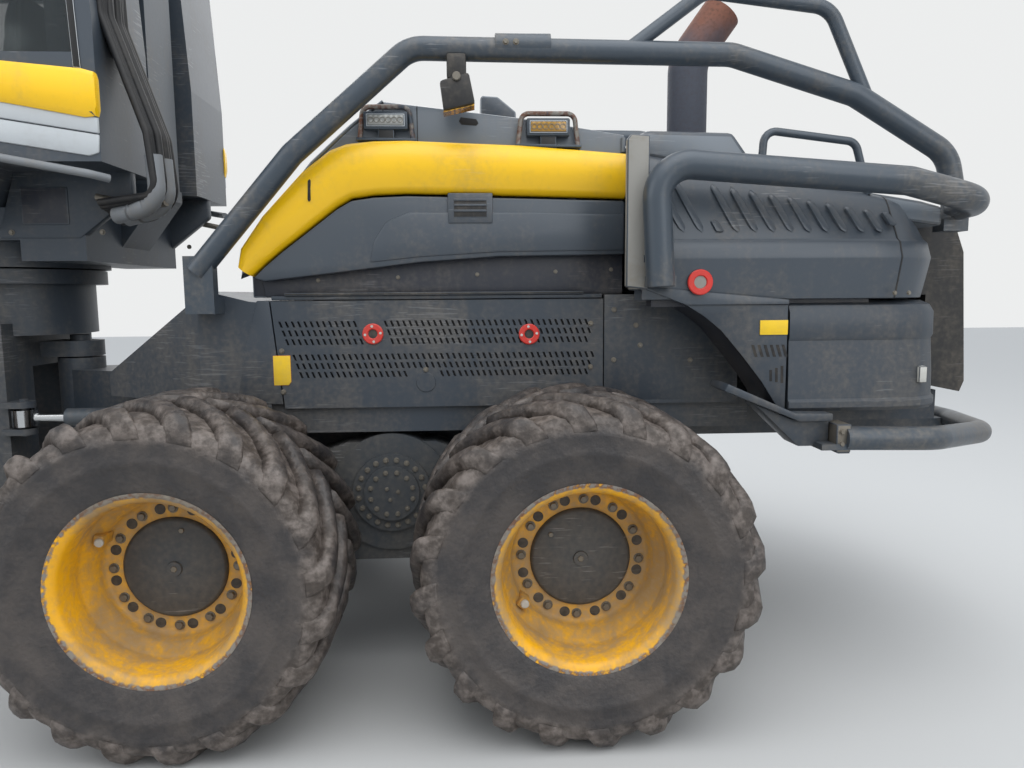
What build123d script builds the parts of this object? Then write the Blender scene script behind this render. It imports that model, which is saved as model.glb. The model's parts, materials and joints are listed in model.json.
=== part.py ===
from build123d import *
import math
import os

os.makedirs("parts", exist_ok=True)

# Eight-wheeled forestry harvester with three articulated frames, millimetres.
# +X is forward, +Y is the machine's left, +Z is up. The origin is on the ground,
# under the slewing axis of the cab and crane.

# Wheels: 710/45-26.5 tyres on deep-dish rims
tyre_od = 1345.0
tyre_width = 710.0
tyre_bore = 672.0
tyre_crown_half = 255.0
lug_height = 38.0
lug_count = 20
rim_flange_od = 735.0
rim_width = 640.0
rim_wall = 14.0
rim_step = 45.0
track_half = 1140.0
hub_disc_y = 50.0
hub_disc_t = 20.0
hub_r = 215.0
cover_r = 196.0
cover_t = 22.0
stub_r = 70.0
stub_len = 160.0

# Bogies
wheel_spacing = 1590.0
rear_bogie_x = -2000.0
front_bogie_x = 2000.0
bogie_pivot_z = 830.0
bogie_inner_y = 500.0
bogie_outer_y = 745.0
bogie_end_r = 190.0
bogie_mid_r = 270.0
trunnion_r = 165.0
flange_r = 178.0
flange_t = 15.0
cap_r = 125.0
cap_out = 10.0

# Frames and their steering joints
steer_x = 300.0
pin_r = 50.0
pin_clear = 0.05
joint_gap = 8.0
lug_r = 112.0
lug_low_z = 800.0
lug_high_z = 1500.0
lug_t = 80.0
mid_half_x = 150.0
mid_half_y = 420.0
mid_low_z = 740.0
mid_top_z = 1600.0
frame_low_z = 690.0
frame_top_z = 1120.0
frame_half_y = 340.0
rear_end_x = -4760.0
front_end_x = 3430.0
frame_rise_x = 2700.0
frame_rise_run = 500.0
tail_low_z = 1000.0
turret_r = 420.0
slew_z = 1862.0
slew_gap = 8.0
steer_cyl_y = 400.0
steer_rod_x = 215.0
steer_foot_x = 920.0
steer_cyl_z = 1150.0
steer_pin_r = 20.0
steer_barrel_r = 42.0
steer_bar_r = 22.0

# Rear body
deck_z0 = 1120.0
deck_z1 = 1250.0
deck_half_y = 720.0
deck_step_x = -3640.0
hood_front_x = -1425.0
hood_split_x = -3060.0
hood_rear_z = 2420.0
hood_top_y = 715.0
hood_cheek_y = 760.0
hood_band_y = 778.0
hood_half_y = 796.0
hood_lift_gap = 12.0
band_inset = 0.12
hinge_x = -3085.0
hinge_z = 2440.0
hinge_r = 22.0
hinge_pin_r = 10.0
hinge_y = 540.0
hinge_tab_t = 40.0
hinge_ear_t = 15.0
hinge_ear_gap = 5.0
panel_low_z = 1225.0
panel_high_z = 1700.0
panel_t = 25.0
panel_split_x = -2965.0
panel_end_x = -3580.0
slot_w = 10.0
slot_h = 26.0
slot_lean = 10.0
slot_pitch = 27.0
housing_half_y = 1060.0
housing_gap = 8.0
housing_end_x = -4420.0
housing_wall = 60.0
housing_corner_r = 270.0
crease_z = 1932.0
crease_in = 20.0
raised_half_y = 925.0
raised_end_x = -3560.0
rib_count = 13
rib_pitch = 76.0
rib_first_x = -3250.0
rib_w = 24.0
rib_out = 6.0
rib_z = 2055.0
rib_slant = 28.0
fender_half_y = 1040.0
fender_inner_y = 700.0
arch_inner_y = 750.0
fender_low_z = 1190.0
fender_end_x = -4550.0
grille_half_y = 690.0
grille_slat_t = 18.0
grille_slat_count = 11
rail_r = 48.0
rail_y = 850.0
guard_r = 57.0
guard_gap = 60.0
guard_y = housing_half_y + guard_gap
hoop_r = 30.0
hoop_y = 830.0
handle_r = 16.0
handle_y = 930.0
bumper_r = 50.0
bumper_x = -4890.0
bumper_z = 1050.0
bumper_bend = 180.0
tow_x = -4905.0
tow_z = 920.0
tow_r = 20.0
tow_t = 40.0
front_tow_x = 3520.0
front_tow_z = 900.0
front_tow_r = 40.0
nose_half_y = 745.0
exhaust_x = -3475.0
exhaust_y = 210.0
exhaust_r = 98.0
exhaust_wall = 6.0
lamp_y = 740.0
lamp_w = 188.0
lamp_h = 75.0
lamp_d = 50.0
lamp_guard_r = 11.0

# Cab
cab_half_y = 800.0
cab_rear_x = -845.0
cab_wall = 50.0
cab_floor_z = 2130.0
cab_tail_z = 2285.0
cab_tail_x = -330.0
roof_z = 3620.0
roof_t = 70.0
recess_x = -470.0
recess_half_y = 290.0
door_x0 = -120.0
door_x1 = 690.0
door_z0 = 2190.0
door_z1 = 3490.0
door_gap = 6.0
door_hinge_y = 814.0
door_hinge_z = (2500.0, 3250.0)
glass_t = 8.0
seat_x = 40.0
platform_half_y = 520.0
platform_tail_x = -620.0
spigot_r = 200.0
spigot_h = 60.0

# Crane
lift_pivot_x = -680.0
lift_pivot_z = 3790.0
knuckle_x = 2438.0
knuckle_z = 3960.0
tip_x = 4560.0
tip_z = 2180.0
fork_y = 500.0
fork_t = 110.0
boom_depth = 220.0
column_half_y = 160.0
hose_top_z = 3500.0
crane_pin_r = 45.0
crane_lug_y = 80.0
crane_lug_t = 30.0
lift_foot_dx = -120.0
lift_foot_dz = 300.0
lift_eye_along = 1690.0
lift_eye_up = 190.0
stick_foot_along = 2000.0
stick_foot_up = -230.0
stick_eye_along = 249.0
stick_eye_up = -326.0
lift_retract = 314.0
stick_retract = 116.0
cyl_end_gap = 5.0
cyl_base = 120.0
eye_pin_r = 28.0
eye_hole_r = 70.0
eye_r = 94.0
cyl_r = 72.0
cyl_rod_r = 38.0
stick_w = 240.0
stick_d = 280.0
stick_len = 2380.0
ext_clear = 5.0
pad_gap = 0.3
stick_wall = 20.0

# Harvester head, hanging crosswise below the crane tip
link_drop = 200.0
rotor_drop = 290.0
spindle_r = 60.0
rotator_r = 140.0
tilt_y = -350.0
tilt_drop = 660.0
spine_half_x = 160.0
spine_top_drop = 690.0
spine_low_drop = 930.0
spine_y0 = -620.0
spine_y1 = 560.0
arm_hinge_x = 222.0
arm_hinge_drop = 850.0
roller_r = 140.0
roller_bar_out = 10.0
roller_bars = 12
roller_x = 300.0
roller_top_drop = 1035.0
roller_low_drop = 1410.0
knife_y = -570.0
knife_t = 28.0
knife_cx = 60.0
knife_drop = 1130.0
knife_outer_r = 330.0
knife_inner_r = 272.0
saw_t = 90.0
saw_low_drop = 1290.0

tilt_z = tip_z - tilt_drop
spine_z0 = tip_z - spine_low_drop
spine_z1 = tip_z - spine_top_drop
arm_hinge_z = tip_z - arm_hinge_drop
knife_cz = tip_z - knife_drop
roller_z0 = tip_z - roller_low_drop
roller_z1 = tip_z - roller_top_drop
saw_z0 = tip_z - saw_low_drop


def block(x0, x1, y0, y1, z0, z1):
    """Axis-aligned block between two corners."""
    size = Box(abs(x1 - x0), abs(y1 - y0), abs(z1 - z0))
    return Pos((x0 + x1) / 2, (y0 + y1) / 2, (z0 + z1) / 2) * size


def profile_xz(points, y0, y1):
    """Polygon in the XZ plane pushed from y0 to y1."""
    face = make_face(Polyline(*[(x, 0, z) for x, z in points], close=True))
    return Pos(0, y0, 0) * extrude(face, amount=y1 - y0, dir=(0, 1, 0))


def profile_yz(points, x0, x1):
    face = make_face(Polyline(*[(0, y, z) for y, z in points], close=True))
    return Pos(x0, 0, 0) * extrude(face, amount=x1 - x0, dir=(1, 0, 0))


def profile_xy(points, z0, z1):
    face = make_face(Polyline(*[(x, y, 0) for x, y in points], close=True))
    return Pos(0, 0, z0) * extrude(face, amount=z1 - z0, dir=(0, 0, 1))


def rod(a, b, r):
    """Round bar from a to b."""
    a, b = Vector(*a), Vector(*b)
    plane = Plane(origin=a, z_dir=(b - a))
    return extrude(plane * Circle(r), amount=(b - a).length)


def y_disc(x, y0, y1, z, r):
    return rod((x, y0, z), (x, y1, z), r)


def z_disc(x, y, z0, z1, r):
    return rod((x, y, z0), (x, y, z1), r)


def x_disc(x0, x1, y, z, r):
    return rod((x0, y, z), (x1, y, z), r)


def bent_tube(points, r, bend):
    """Round tube along straight runs with equal bends."""
    path = FilletPolyline(*points, radius=bend)
    start = Plane(origin=path @ 0, z_dir=path % 0)
    return sweep(start * Circle(r), path=path)


def mirror_y(part):
    return mirror(part, about=Plane.XZ)


def both(part):
    return part + mirror_y(part)


def save(name, shape):
    """Writes one node."""
    if isinstance(shape, (list, tuple)):
        shape = Compound(children=list(shape))
    export_step(shape, f"parts/{name}.step")
    print("wrote", name)


def revolve_y(points, cx, cz, cy):
    """Ring of revolution about a Y axis through (cx, cz); points are (r, y)."""
    face = make_face(Polyline(*[(r, y, 0) for r, y in points], close=True))
    ring = revolve(face, axis=Axis.Y)
    return Pos(cx, cy, cz) * ring


boom_dx = knuckle_x - lift_pivot_x
boom_dz = knuckle_z - lift_pivot_z
boom_angle = math.degrees(math.atan2(boom_dz, boom_dx))
boom_len = math.hypot(boom_dx, boom_dz)
stick_angle = math.degrees(math.atan2(tip_z - knuckle_z, tip_x - knuckle_x))
tip_len = math.hypot(tip_x - knuckle_x, tip_z - knuckle_z)


def on_line(shape, x, z, angle):
    """Places a shape built along +X at (x, z), pitched up by angle degrees."""
    return Pos(x, 0, z) * Rot(0, -angle, 0) * shape


def point_on(x, z, angle, along, up):
    """World (x, z) of a point given along and above a pitched line."""
    a = math.radians(angle)
    return x + along * math.cos(a) - up * math.sin(a), z + along * math.sin(a) + up * math.cos(a)


lift_foot = (lift_pivot_x + lift_foot_dx, lift_pivot_z + lift_foot_dz)
lift_eye = point_on(lift_pivot_x, lift_pivot_z, boom_angle, lift_eye_along, lift_eye_up)
stick_foot = point_on(lift_pivot_x, lift_pivot_z, boom_angle, stick_foot_along, stick_foot_up)
stick_eye = point_on(knuckle_x, knuckle_z, stick_angle, stick_eye_along, stick_eye_up)


# Wheels

lug_stations = [
    # y, y of the foot, turn, half angle of the top, half angle of the foot, drop of the top, drop of the foot
    (8.0, 8.0, 0.00, 0.040, 0.058, 0.0, lug_height + 7),
    (tyre_width / 4, tyre_width / 4, 0.27, 0.044, 0.062, 0.0, lug_height + 7),
    (tyre_width / 2 - 35, tyre_width / 2 - 11, 0.44, 0.052, 0.070, 16.0, lug_height + 74),
]


def tread_point(y, drop, angle):
    """Point under the tyre's outer radius, its angle counted from straight down."""
    r = tyre_od / 2 - drop
    return (r * math.sin(angle), y, -r * math.cos(angle))


def tread_lug(phase):
    """One curved lug from the crown to the shoulder, a closed solid of flat faces."""
    rings = []
    for y, foot_y, turn, top, foot, top_drop, foot_drop in lug_stations:
        a = phase + turn
        rings.append([
            tread_point(foot_y, foot_drop, a - foot), tread_point(y, top_drop, a - top),
            tread_point(y, top_drop, a + top), tread_point(foot_y, foot_drop, a + foot),
        ])
    corners = [rings[0], rings[-1]]
    for near, far in zip(rings, rings[1:]):
        for i in range(4):
            j = (i + 1) % 4
            corners.append([near[i], near[j], far[j]])
            corners.append([near[i], far[j], far[i]])
    return Solid(Shell([Face(Wire.make_polygon(points, close=True)) for points in corners]))


def tyre():
    """Left tyre on the origin, with its lugs fused to the carcass, half a pitch apart on its two halves."""
    r1 = tyre_od / 2 - lug_height
    r0 = tyre_bore / 2
    w = tyre_width / 2
    bead = rim_width / 2 - rim_wall + 2
    half = [
        (r0, bead), (r0 + 60, bead), (r0 + 150, w), (r1 - 60, w - 5), (r1 - 24, w - 30), (r1, tyre_crown_half),
    ]
    carcass = revolve_y(half + [(r, -y) for r, y in half[::-1]], 0, 0, 0)
    pitch = math.tau / lug_count
    start = lug_stations[1][3] - lug_stations[1][2]
    lugs = []
    for i in range(lug_count):
        lugs.append(tread_lug(start + i * pitch))
        lugs.append(mirror_y(tread_lug(start + (i + 0.5) * pitch)))
    return carcass + lugs


def rim():
    """Left deep-dish rim on the origin, with its hub and cover, bored for the stub axle."""
    r1 = rim_flange_od / 2
    r0 = tyre_bore / 2
    w = rim_width / 2
    t = rim_wall
    low = r0 - rim_step
    barrel = [
        (r1, w), (r1, w - t + 2), (r0, w - t + 2), (r0, w - 150), (low, w - 210), (low, -w + 210),
        (r0, -w + 150), (r0, -w + t - 2), (r1, -w + t - 2), (r1, -w), (r0 - t, -w),
        (r0 - t, -w + 158), (low - t, -w + 218), (low - t, w - 218), (r0 - t, w - 158), (r0 - t, w),
    ]
    shell = revolve_y(barrel, 0, 0, 0)
    disc = y_disc(0, hub_disc_y - hub_disc_t, hub_disc_y, 0, low - 5)
    hub = y_disc(0, bogie_outer_y + joint_gap - track_half, hub_disc_y, 0, hub_r)
    cover = y_disc(0, hub_disc_y, hub_disc_y + cover_t, 0, cover_r)
    axle = y_disc(0, bogie_outer_y - track_half, bogie_outer_y - track_half + stub_len + 6, 0, stub_r + pin_clear)
    return shell + disc + hub + cover - axle


bogie_table = [
    # prefix, centre x
    ("rear", rear_bogie_x),
    ("front", front_bogie_x),
]
left_tyre = tyre()
left_rim = rim()
side_table = [
    # name, tyre, rim, centre y
    ("left", left_tyre, left_rim, track_half),
    ("right", mirror_y(left_tyre), mirror_y(left_rim), -track_half),
]

for prefix, bx in bogie_table:
    for place, dx in (("fore", wheel_spacing / 2), ("aft", -wheel_spacing / 2)):
        for side_name, tyre_shape, rim_shape, cy in side_table:
            spot = Pos(bx + dx, cy, tyre_od / 2)
            save(f"tyre_{prefix}_{place}_{side_name}", spot * tyre_shape)
            save(f"rim_{prefix}_{place}_{side_name}", spot * rim_shape)


def bogie(bx):
    """Walking beam with a round hub at each end and the trunnion at its middle."""
    hz = tyre_od / 2
    half = wheel_spacing / 2
    y0, y1 = bogie_inner_y, bogie_outer_y
    beam = profile_xz([
        (bx - half, hz - bogie_end_r + 30), (bx + half, hz - bogie_end_r + 30),
        (bx + half, hz + bogie_end_r - 20), (bx + 200, bogie_pivot_z + bogie_mid_r - 40),
        (bx - 200, bogie_pivot_z + bogie_mid_r - 40), (bx - half, hz + bogie_end_r - 20),
    ], y0 + 40, y1 - 30)
    ends = y_disc(bx - half, y0 + 30, y1, hz, bogie_end_r) + y_disc(bx + half, y0 + 30, y1, hz, bogie_end_r)
    middle = y_disc(bx, y0, y1 - 20, bogie_pivot_z, bogie_mid_r)
    cap = y_disc(bx, y1 - 25, y1 - 20 + flange_t, bogie_pivot_z, flange_r)
    cap += y_disc(bx, y1 - 25, y1 + cap_out, bogie_pivot_z, cap_r)
    stubs = y_disc(bx - half, y1 - 5, y1 + stub_len, hz, stub_r) + y_disc(bx + half, y1 - 5, y1 + stub_len, hz, stub_r)
    return beam + ends + middle + cap + stubs


for prefix, bx in bogie_table:
    save(f"{prefix}_bogies", both(bogie(bx)))


# Middle frame

def mid_frame():
    core = block(-mid_half_x, mid_half_x, -mid_half_y, mid_half_y, mid_low_z, mid_top_z)
    core -= block(-mid_half_x - 1, mid_half_x + 1, -190, 190, mid_low_z + 150, mid_top_z - 220)
    turret = z_disc(0, 0, mid_top_z - 60, slew_z - 60, turret_r - 60) + z_disc(0, 0, slew_z - 70, slew_z, turret_r)
    part = core + turret + z_disc(0, 0, slew_z - 20, slew_z + spigot_h, spigot_r)
    for s in (-1, 1):
        for z in (lug_low_z, lug_high_z - lug_t):
            lug = z_disc(s * steer_x, 0, z, z + lug_t, lug_r)
            lug += block(s * mid_half_x, s * steer_x, -lug_r, lug_r, z, z + lug_t)
            part += lug
        part += z_disc(s * steer_x, 0, lug_low_z - 30, lug_high_z + 30, pin_r)
        ear_x = s * steer_rod_x
        for z in (steer_cyl_z - 80, steer_cyl_z + 50):
            part += z_disc(ear_x, steer_cyl_y, z, z + 30, 50)
            part += block(s * (mid_half_x - 20), ear_x, steer_cyl_y - 50, steer_cyl_y + 50, z, z + 30)
        part += z_disc(ear_x, steer_cyl_y, steer_cyl_z - 90, steer_cyl_z + 90, steer_pin_r)
    return part


save("mid_frame", mid_frame())


def knuckle(s):
    """Bored knuckle of an end frame, between the lugs of the middle frame."""
    z0 = lug_low_z + lug_t + joint_gap
    z1 = lug_high_z - lug_t - joint_gap
    x = s * steer_x
    part = z_disc(x, 0, z0, z1, lug_r)
    tail = s * (steer_x + 480)
    part += profile_xy([(x, -lug_r), (x, lug_r), (tail, 300), (tail, -300)], z0, z1 - 60)
    return part - z_disc(x, 0, z0 - 1, z1 + 1, pin_r + pin_clear)


def frame_beam(s, end_x):
    """Main beam of an end frame with the bogie trunnion tube."""
    part = knuckle(s)
    root = s * (steer_x + 420)
    mid_x = s * 1250
    part += profile_xz([
        (root, lug_low_z + 90), (mid_x, frame_low_z), (s * frame_rise_x, frame_low_z),
        (s * (frame_rise_x + frame_rise_run), tail_low_z), (end_x, tail_low_z), (end_x, frame_top_z),
        (s * 1000, frame_top_z), (root, lug_high_z - 170),
    ], -frame_half_y, frame_half_y)
    bx = rear_bogie_x if s < 0 else front_bogie_x
    part += y_disc(bx, -bogie_inner_y, bogie_inner_y, bogie_pivot_z, trunnion_r)
    foot_x = s * steer_foot_x
    for z in (steer_cyl_z - 80, steer_cyl_z + 50):
        part += block(foot_x + s * 130, foot_x, frame_half_y - 10, steer_cyl_y + 45, z, z + 30)
        part += z_disc(foot_x, steer_cyl_y, z, z + 30, 45)
    part += z_disc(foot_x, steer_cyl_y, steer_cyl_z - 90, steer_cyl_z + 90, steer_pin_r)
    return part


def rear_frame():
    part = frame_beam(-1, rear_end_x)
    part += block(deck_step_x, -1330, -deck_half_y, deck_half_y, deck_z0 - 10, deck_z1)
    cowl = profile_xz([(-620, 1250), (-620, 1360), (-1225, 1745), (-1400, 1700), (-1480, 1690), (-1480, 1110),
                       (-1040, 1110), (-1040, 1250)], -nose_half_y, nose_half_y)
    cowl = cowl & profile_xy([(-420, -260), (-420, 260), (-1180, nose_half_y), (-1600, nose_half_y),
                              (-1600, -nose_half_y), (-1180, -nose_half_y)], 1000, 1800)
    part += cowl
    part += block(-4600, deck_step_x, -620, 620, deck_z0 - 10, deck_z1)
    return part


def front_frame():
    part = frame_beam(1, front_end_x)
    part += block(1330, 3300, -deck_half_y, deck_half_y, frame_top_z - 10, frame_top_z + 110)
    nose = profile_xz([(3240, 860), (3400, 880), (3440, 950), (3440, 1150), (3260, 1230)], -600, 600)
    lug = y_disc(front_tow_x, 230, 260, front_tow_z, front_tow_r)
    lug += block(3340, front_tow_x, 230, 260, front_tow_z - front_tow_r, front_tow_z + front_tow_r)
    lug -= y_disc(front_tow_x, 200, 300, front_tow_z, tow_r)
    return part + nose + both(lug)


save("rear_frame", rear_frame())
save("front_frame", front_frame())


def steer_cylinder(s):
    """Barrel from the end frame's foot, bored for its rod."""
    fx = s * steer_foot_x
    bar1 = s * (steer_rod_x + 200)
    part = z_disc(fx, steer_cyl_y, steer_cyl_z - 44, steer_cyl_z + 44, steer_barrel_r)
    part += x_disc(fx, bar1, steer_cyl_y, steer_cyl_z, steer_barrel_r)
    part -= z_disc(fx, steer_cyl_y, steer_cyl_z - 60, steer_cyl_z + 60, steer_pin_r + pin_clear)
    part -= x_disc(bar1, s * (steer_foot_x - 80), steer_cyl_y, steer_cyl_z, steer_bar_r + pin_clear)
    return part


def steer_rod(s):
    x = s * steer_rod_x
    part = z_disc(x, steer_cyl_y, steer_cyl_z - 40, steer_cyl_z + 40, 56)
    part += x_disc(x, s * (steer_rod_x + 460), steer_cyl_y, steer_cyl_z, steer_bar_r)
    part -= z_disc(x, steer_cyl_y, steer_cyl_z - 60, steer_cyl_z + 60, 43)
    return part


for prefix, s in (("rear", -1), ("front", 1)):
    save(f"{prefix}_steer_cylinder", steer_cylinder(s))
    save(f"{prefix}_steer_rod", steer_rod(s))


# Front deck: tool chests with their lids, on the front frame

lid_table = [
    # rear x, front x
    (1530.0, 2070.0),
    (2090.0, 2610.0),
    (2630.0, 3060.0),
]


def front_deck():
    low, high = frame_top_z + 110, 1420
    part = profile_xz([(1500, low), (1500, high), (3080, high), (3200, high - 90), (3200, low)], -640, 640)
    part -= block(1490, 3210, -120, 120, high - 40, high + 10)
    for x0, x1 in lid_table:
        part += both(block(x0, x1, 150, 620, high, high + 18))
        part += both(block((x0 + x1) / 2 - 60, (x0 + x1) / 2 + 60, 640, 652, high - 70, high - 40))
    return part


save("front_deck", front_deck())

# Rear body

def engine_block():
    return block(-2900, -1750, -330, 330, deck_z1, 2050)


band_table = [
    # x and z on the upper edge, x and z on the lower edge
    (-1372.0, 1850.0, -1424.0, 1808.0),
    (-1386.0, 1926.0, -1483.0, 1862.0),
    (-1484.0, 2064.0, -1560.0, 1925.0),
    (-1659.0, 2249.0, -1690.0, 2022.0),
    (-1851.0, 2366.0, -1862.0, 2140.0),
    (-2102.0, 2381.0, -2102.0, 2160.0),
    (hood_split_x, 2328.0, hood_split_x, 2138.0),
]
hood_crown = [
    # x, z along the hood's top
    (hood_front_x + 20, 1850.0),
    (-1500.0, 2070.0),
    (-1690.0, 2300.0),
    (-1866.0, 2458.0),
    (-2003.0, 2560.0),
    (-2149.0, 2562.0),
    (hood_split_x, hood_rear_z),
]
hood_sill = [
    # x, z along the lower edge of the side above the recessed skirt
    (hood_split_x, 1893.0),
    (-2153.0, 1864.0),
    (-1809.0, 1823.0),
    (-1480.0, 1785.0),
]


def band_outline(inset, y):
    """Outline of the band at one distance from the middle, drawn in by a share of its height."""
    top = [(x0 + (x1 - x0) * inset, y, z0 + (z1 - z0) * inset) for x0, z0, x1, z1 in band_table]
    low = [(x1 + (x0 - x1) * inset, y, z1 + (z0 - z1) * inset) for x0, z0, x1, z1 in band_table]
    return Face(Wire.make_polygon(top + low[::-1], close=True))


def engine_hood():
    """Hollow hood with a bulged band along each side, over a side panel and a recessed skirt."""
    low_z = panel_high_z + hood_lift_gap
    outer = profile_xz([(hood_front_x - 20, low_z)] + hood_crown + [(hood_split_x, low_z)], -hood_top_y, hood_top_y)
    inner_top = [(x - 18, z - panel_t) for x, z in hood_crown[:-1]] + [(hood_split_x - 1, hood_rear_z - panel_t)]
    inner = profile_xz([(hood_front_x - 45, low_z - 1)] + inner_top + [(hood_split_x - 1, low_z - 1)],
                       -hood_top_y + panel_t, hood_top_y - panel_t)
    cheek_top = [((x0 + x1) / 2, (z0 + z1) / 2) for x0, z0, x1, z1 in band_table]
    cheek = profile_xz(hood_sill + cheek_top, hood_top_y - panel_t, hood_cheek_y)
    band = loft([band_outline(0, hood_top_y - panel_t), band_outline(0, hood_band_y),
                 band_outline(band_inset, hood_half_y)], ruled=True)
    y0, y1 = hinge_y - hinge_tab_t / 2, hinge_y + hinge_tab_t / 2
    tab = block(hinge_x, hood_split_x + 40, y0, y1, hood_rear_z - 10, hinge_z + hinge_r)
    tab += y_disc(hinge_x, y0, y1, hinge_z, hinge_r)
    tab -= block(hinge_x - 30, hood_split_x, y0 - 1, y1 + 1, hood_rear_z - 30, hood_rear_z + 4)
    tab -= y_disc(hinge_x, y0 - 10, y1 + 10, hinge_z, hinge_pin_r + pin_clear)
    return outer - inner + both(cheek) + both(band) + both(tab)


slot_table = [
    # row's centre z, first slot's x, slots, first and last slot left out
    (1598.0, -1535.0, 51, 13, 17),
    (1559.0, -1548.0, 51, 13, 17),
    (1520.0, -1561.0, 50, 13, 17),
    (1452.0, -1590.0, 50, 0, 0),
    (1413.0, -1603.0, 49, 0, 0),
    (1374.0, -1616.0, 48, 18, 23),
]


def side_panel():
    """Lower side panels; the first is slotted, its holes made with the sheet."""
    y0 = deck_half_y
    sheet = Wire.make_polygon([
        (-1495, y0, panel_high_z), (-1540, y0, panel_low_z), (panel_split_x + 4, y0, panel_low_z),
        (panel_split_x + 4, y0, panel_high_z),
    ], close=True)
    w, h, lean = slot_w / 2, slot_h / 2, slot_lean / 2
    slots = []
    for z, first_x, count, gap_from, gap_to in slot_table:
        for i in range(count):
            x = first_x - i * slot_pitch
            if gap_from <= i < gap_to:
                continue
            slots.append(Wire.make_polygon([
                (x + lean - w, y0, z + h), (x + lean + w, y0, z + h),
                (x - lean + w, y0, z - h), (x - lean - w, y0, z - h),
            ], close=True))
    slotted = extrude(Face(sheet, slots), amount=panel_t, dir=(0, 1, 0))
    plain = block(panel_end_x, panel_split_x - 4, y0, y0 + panel_t, panel_low_z, panel_high_z)
    return [slotted, plain, mirror_y(slotted), mirror_y(plain)]


housing_front_x = hood_split_x - housing_gap
housing_top = [
    # x, z along the top edge of the housing's sides
    (housing_front_x, 2335.0),
    (-3513.0, 2286.0),
    (-4117.0, 2130.0),
    (housing_end_x, 2050.0),
]
arch_table = [
    # x, z along the wheel arch, from the housing's front corner down to the fender
    (-3100.0, 1738.0),
    (-3255.0, 1668.0),
    (-3403.0, 1560.0),
    (-3500.0, 1445.0),
    (-3590.0, 1330.0),
    (-3690.0, 1222.0),
]


def rounded_plan(x0, x1, half_y, z0, z1):
    """Plan outline whose two rear corners are rounded, pushed up from z0 to z1."""
    sheet = Pos((x0 + x1) / 2, 0, z0) * Rectangle(abs(x1 - x0), 2 * half_y)
    rear = sheet.vertices().sort_by(Axis.X)[:2]
    return extrude(fillet(rear, housing_corner_r), amount=z1 - z0, dir=(0, 0, 1))


def rear_housing():
    """Rear box with a creased side, ribs, raised top and lower fenders that leave the wheel arches open."""
    half = housing_half_y
    side = profile_xz([(housing_front_x, 1740)] + housing_top + [(housing_end_x, 1700), (-3750, 1700)], -half, half)
    section = [(half, 1600), (half, crease_z - 8), (half - crease_in, crease_z + 8), (half - 75, 2260),
               (half - 120, 2500)]
    side = side & profile_yz(section + [(-y, z) for y, z in section[::-1]], housing_end_x - 10, housing_front_x + 10)
    side = side & rounded_plan(housing_end_x, housing_front_x, half, 1600, 2500)
    raised = profile_xz([
        (housing_front_x, 2200), (housing_front_x, 2375), (housing_front_x - 40, 2392), (raised_end_x + 90, 2384),
        (raised_end_x, 2310), (raised_end_x, 2200),
    ], -raised_half_y, raised_half_y)
    inner_top = [(x - housing_wall, z - housing_wall) for x, z in housing_top[:-1]]
    inner_top.append((housing_end_x + housing_wall, housing_top[-1][1] - housing_wall + 10))
    inner = profile_xz([(housing_front_x - housing_wall, 1800)] + inner_top
                       + [(housing_end_x + housing_wall, 1760), (-3750, 1760)], -half + 150, half - 150)
    flue = z_disc(exhaust_x, exhaust_y, 2100, 2500, exhaust_r)
    shell = side + raised - inner - flue
    tilt = math.degrees(math.atan2(75 - crease_in, 2260 - crease_z))
    wall_y = half - crease_in - (rib_z - crease_z) * math.tan(math.radians(tilt))
    for i in range(rib_count):
        length = 222 - 5 * i
        rib = Rot(tilt, 0, 0) * Rot(0, rib_slant, 0) * Box(rib_w, 2 * rib_out, length)
        shell += both(Pos(rib_first_x - i * rib_pitch, wall_y, rib_z) * rib)
    fender = profile_xz([
        (-3600, 1745), (-3600, 1318), arch_table[-1], (arch_table[-1][0] - 50, fender_low_z),
        (fender_end_x + 40, fender_low_z), (fender_end_x, fender_low_z + 70), (fender_end_x, 1620),
        (fender_end_x + 60, 1702),
    ], -fender_half_y, fender_half_y)
    fender = fender & rounded_plan(fender_end_x, -3500, fender_half_y, 1100, 1800)
    fender -= block(fender_end_x - 10, -3500, -fender_inner_y, fender_inner_y, 1100, 1800)
    arch = profile_xz(arch_table[:-1] + [(-3600, 1318), (-3600, 1745), (-3120, 1745)], arch_inner_y, fender_half_y)
    core = block(-4480, -3620, -600, 600, deck_z1, 1705)
    bridge = block(-4480, -3620, 560, 720, 1450, 1690)
    handle = bent_tube([(-3590, handle_y, 2220), (-3600, handle_y, 2398), (-4040, handle_y, 2355),
                        (-4062, handle_y, 2090)], handle_r, 50)
    y0 = hinge_y - hinge_tab_t / 2 - hinge_ear_gap
    y1 = hinge_y + hinge_tab_t / 2 + hinge_ear_gap
    ear = y_disc(hinge_x, y0 - hinge_ear_t, y0, hinge_z, hinge_r)
    ear += block(hinge_x - hinge_r, hinge_x + 16, y0 - hinge_ear_t, y0, 2365, hinge_z)
    ear += y_disc(hinge_x, y1, y1 + hinge_ear_t, hinge_z, hinge_r)
    ear += block(hinge_x - hinge_r, hinge_x + 16, y1, y1 + hinge_ear_t, 2365, hinge_z)
    ear += y_disc(hinge_x, y0 - 20, y1 + 20, hinge_z, hinge_pin_r)
    return shell + fender + both(arch) + core + both(bridge) + both(ear) + both(handle)


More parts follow.
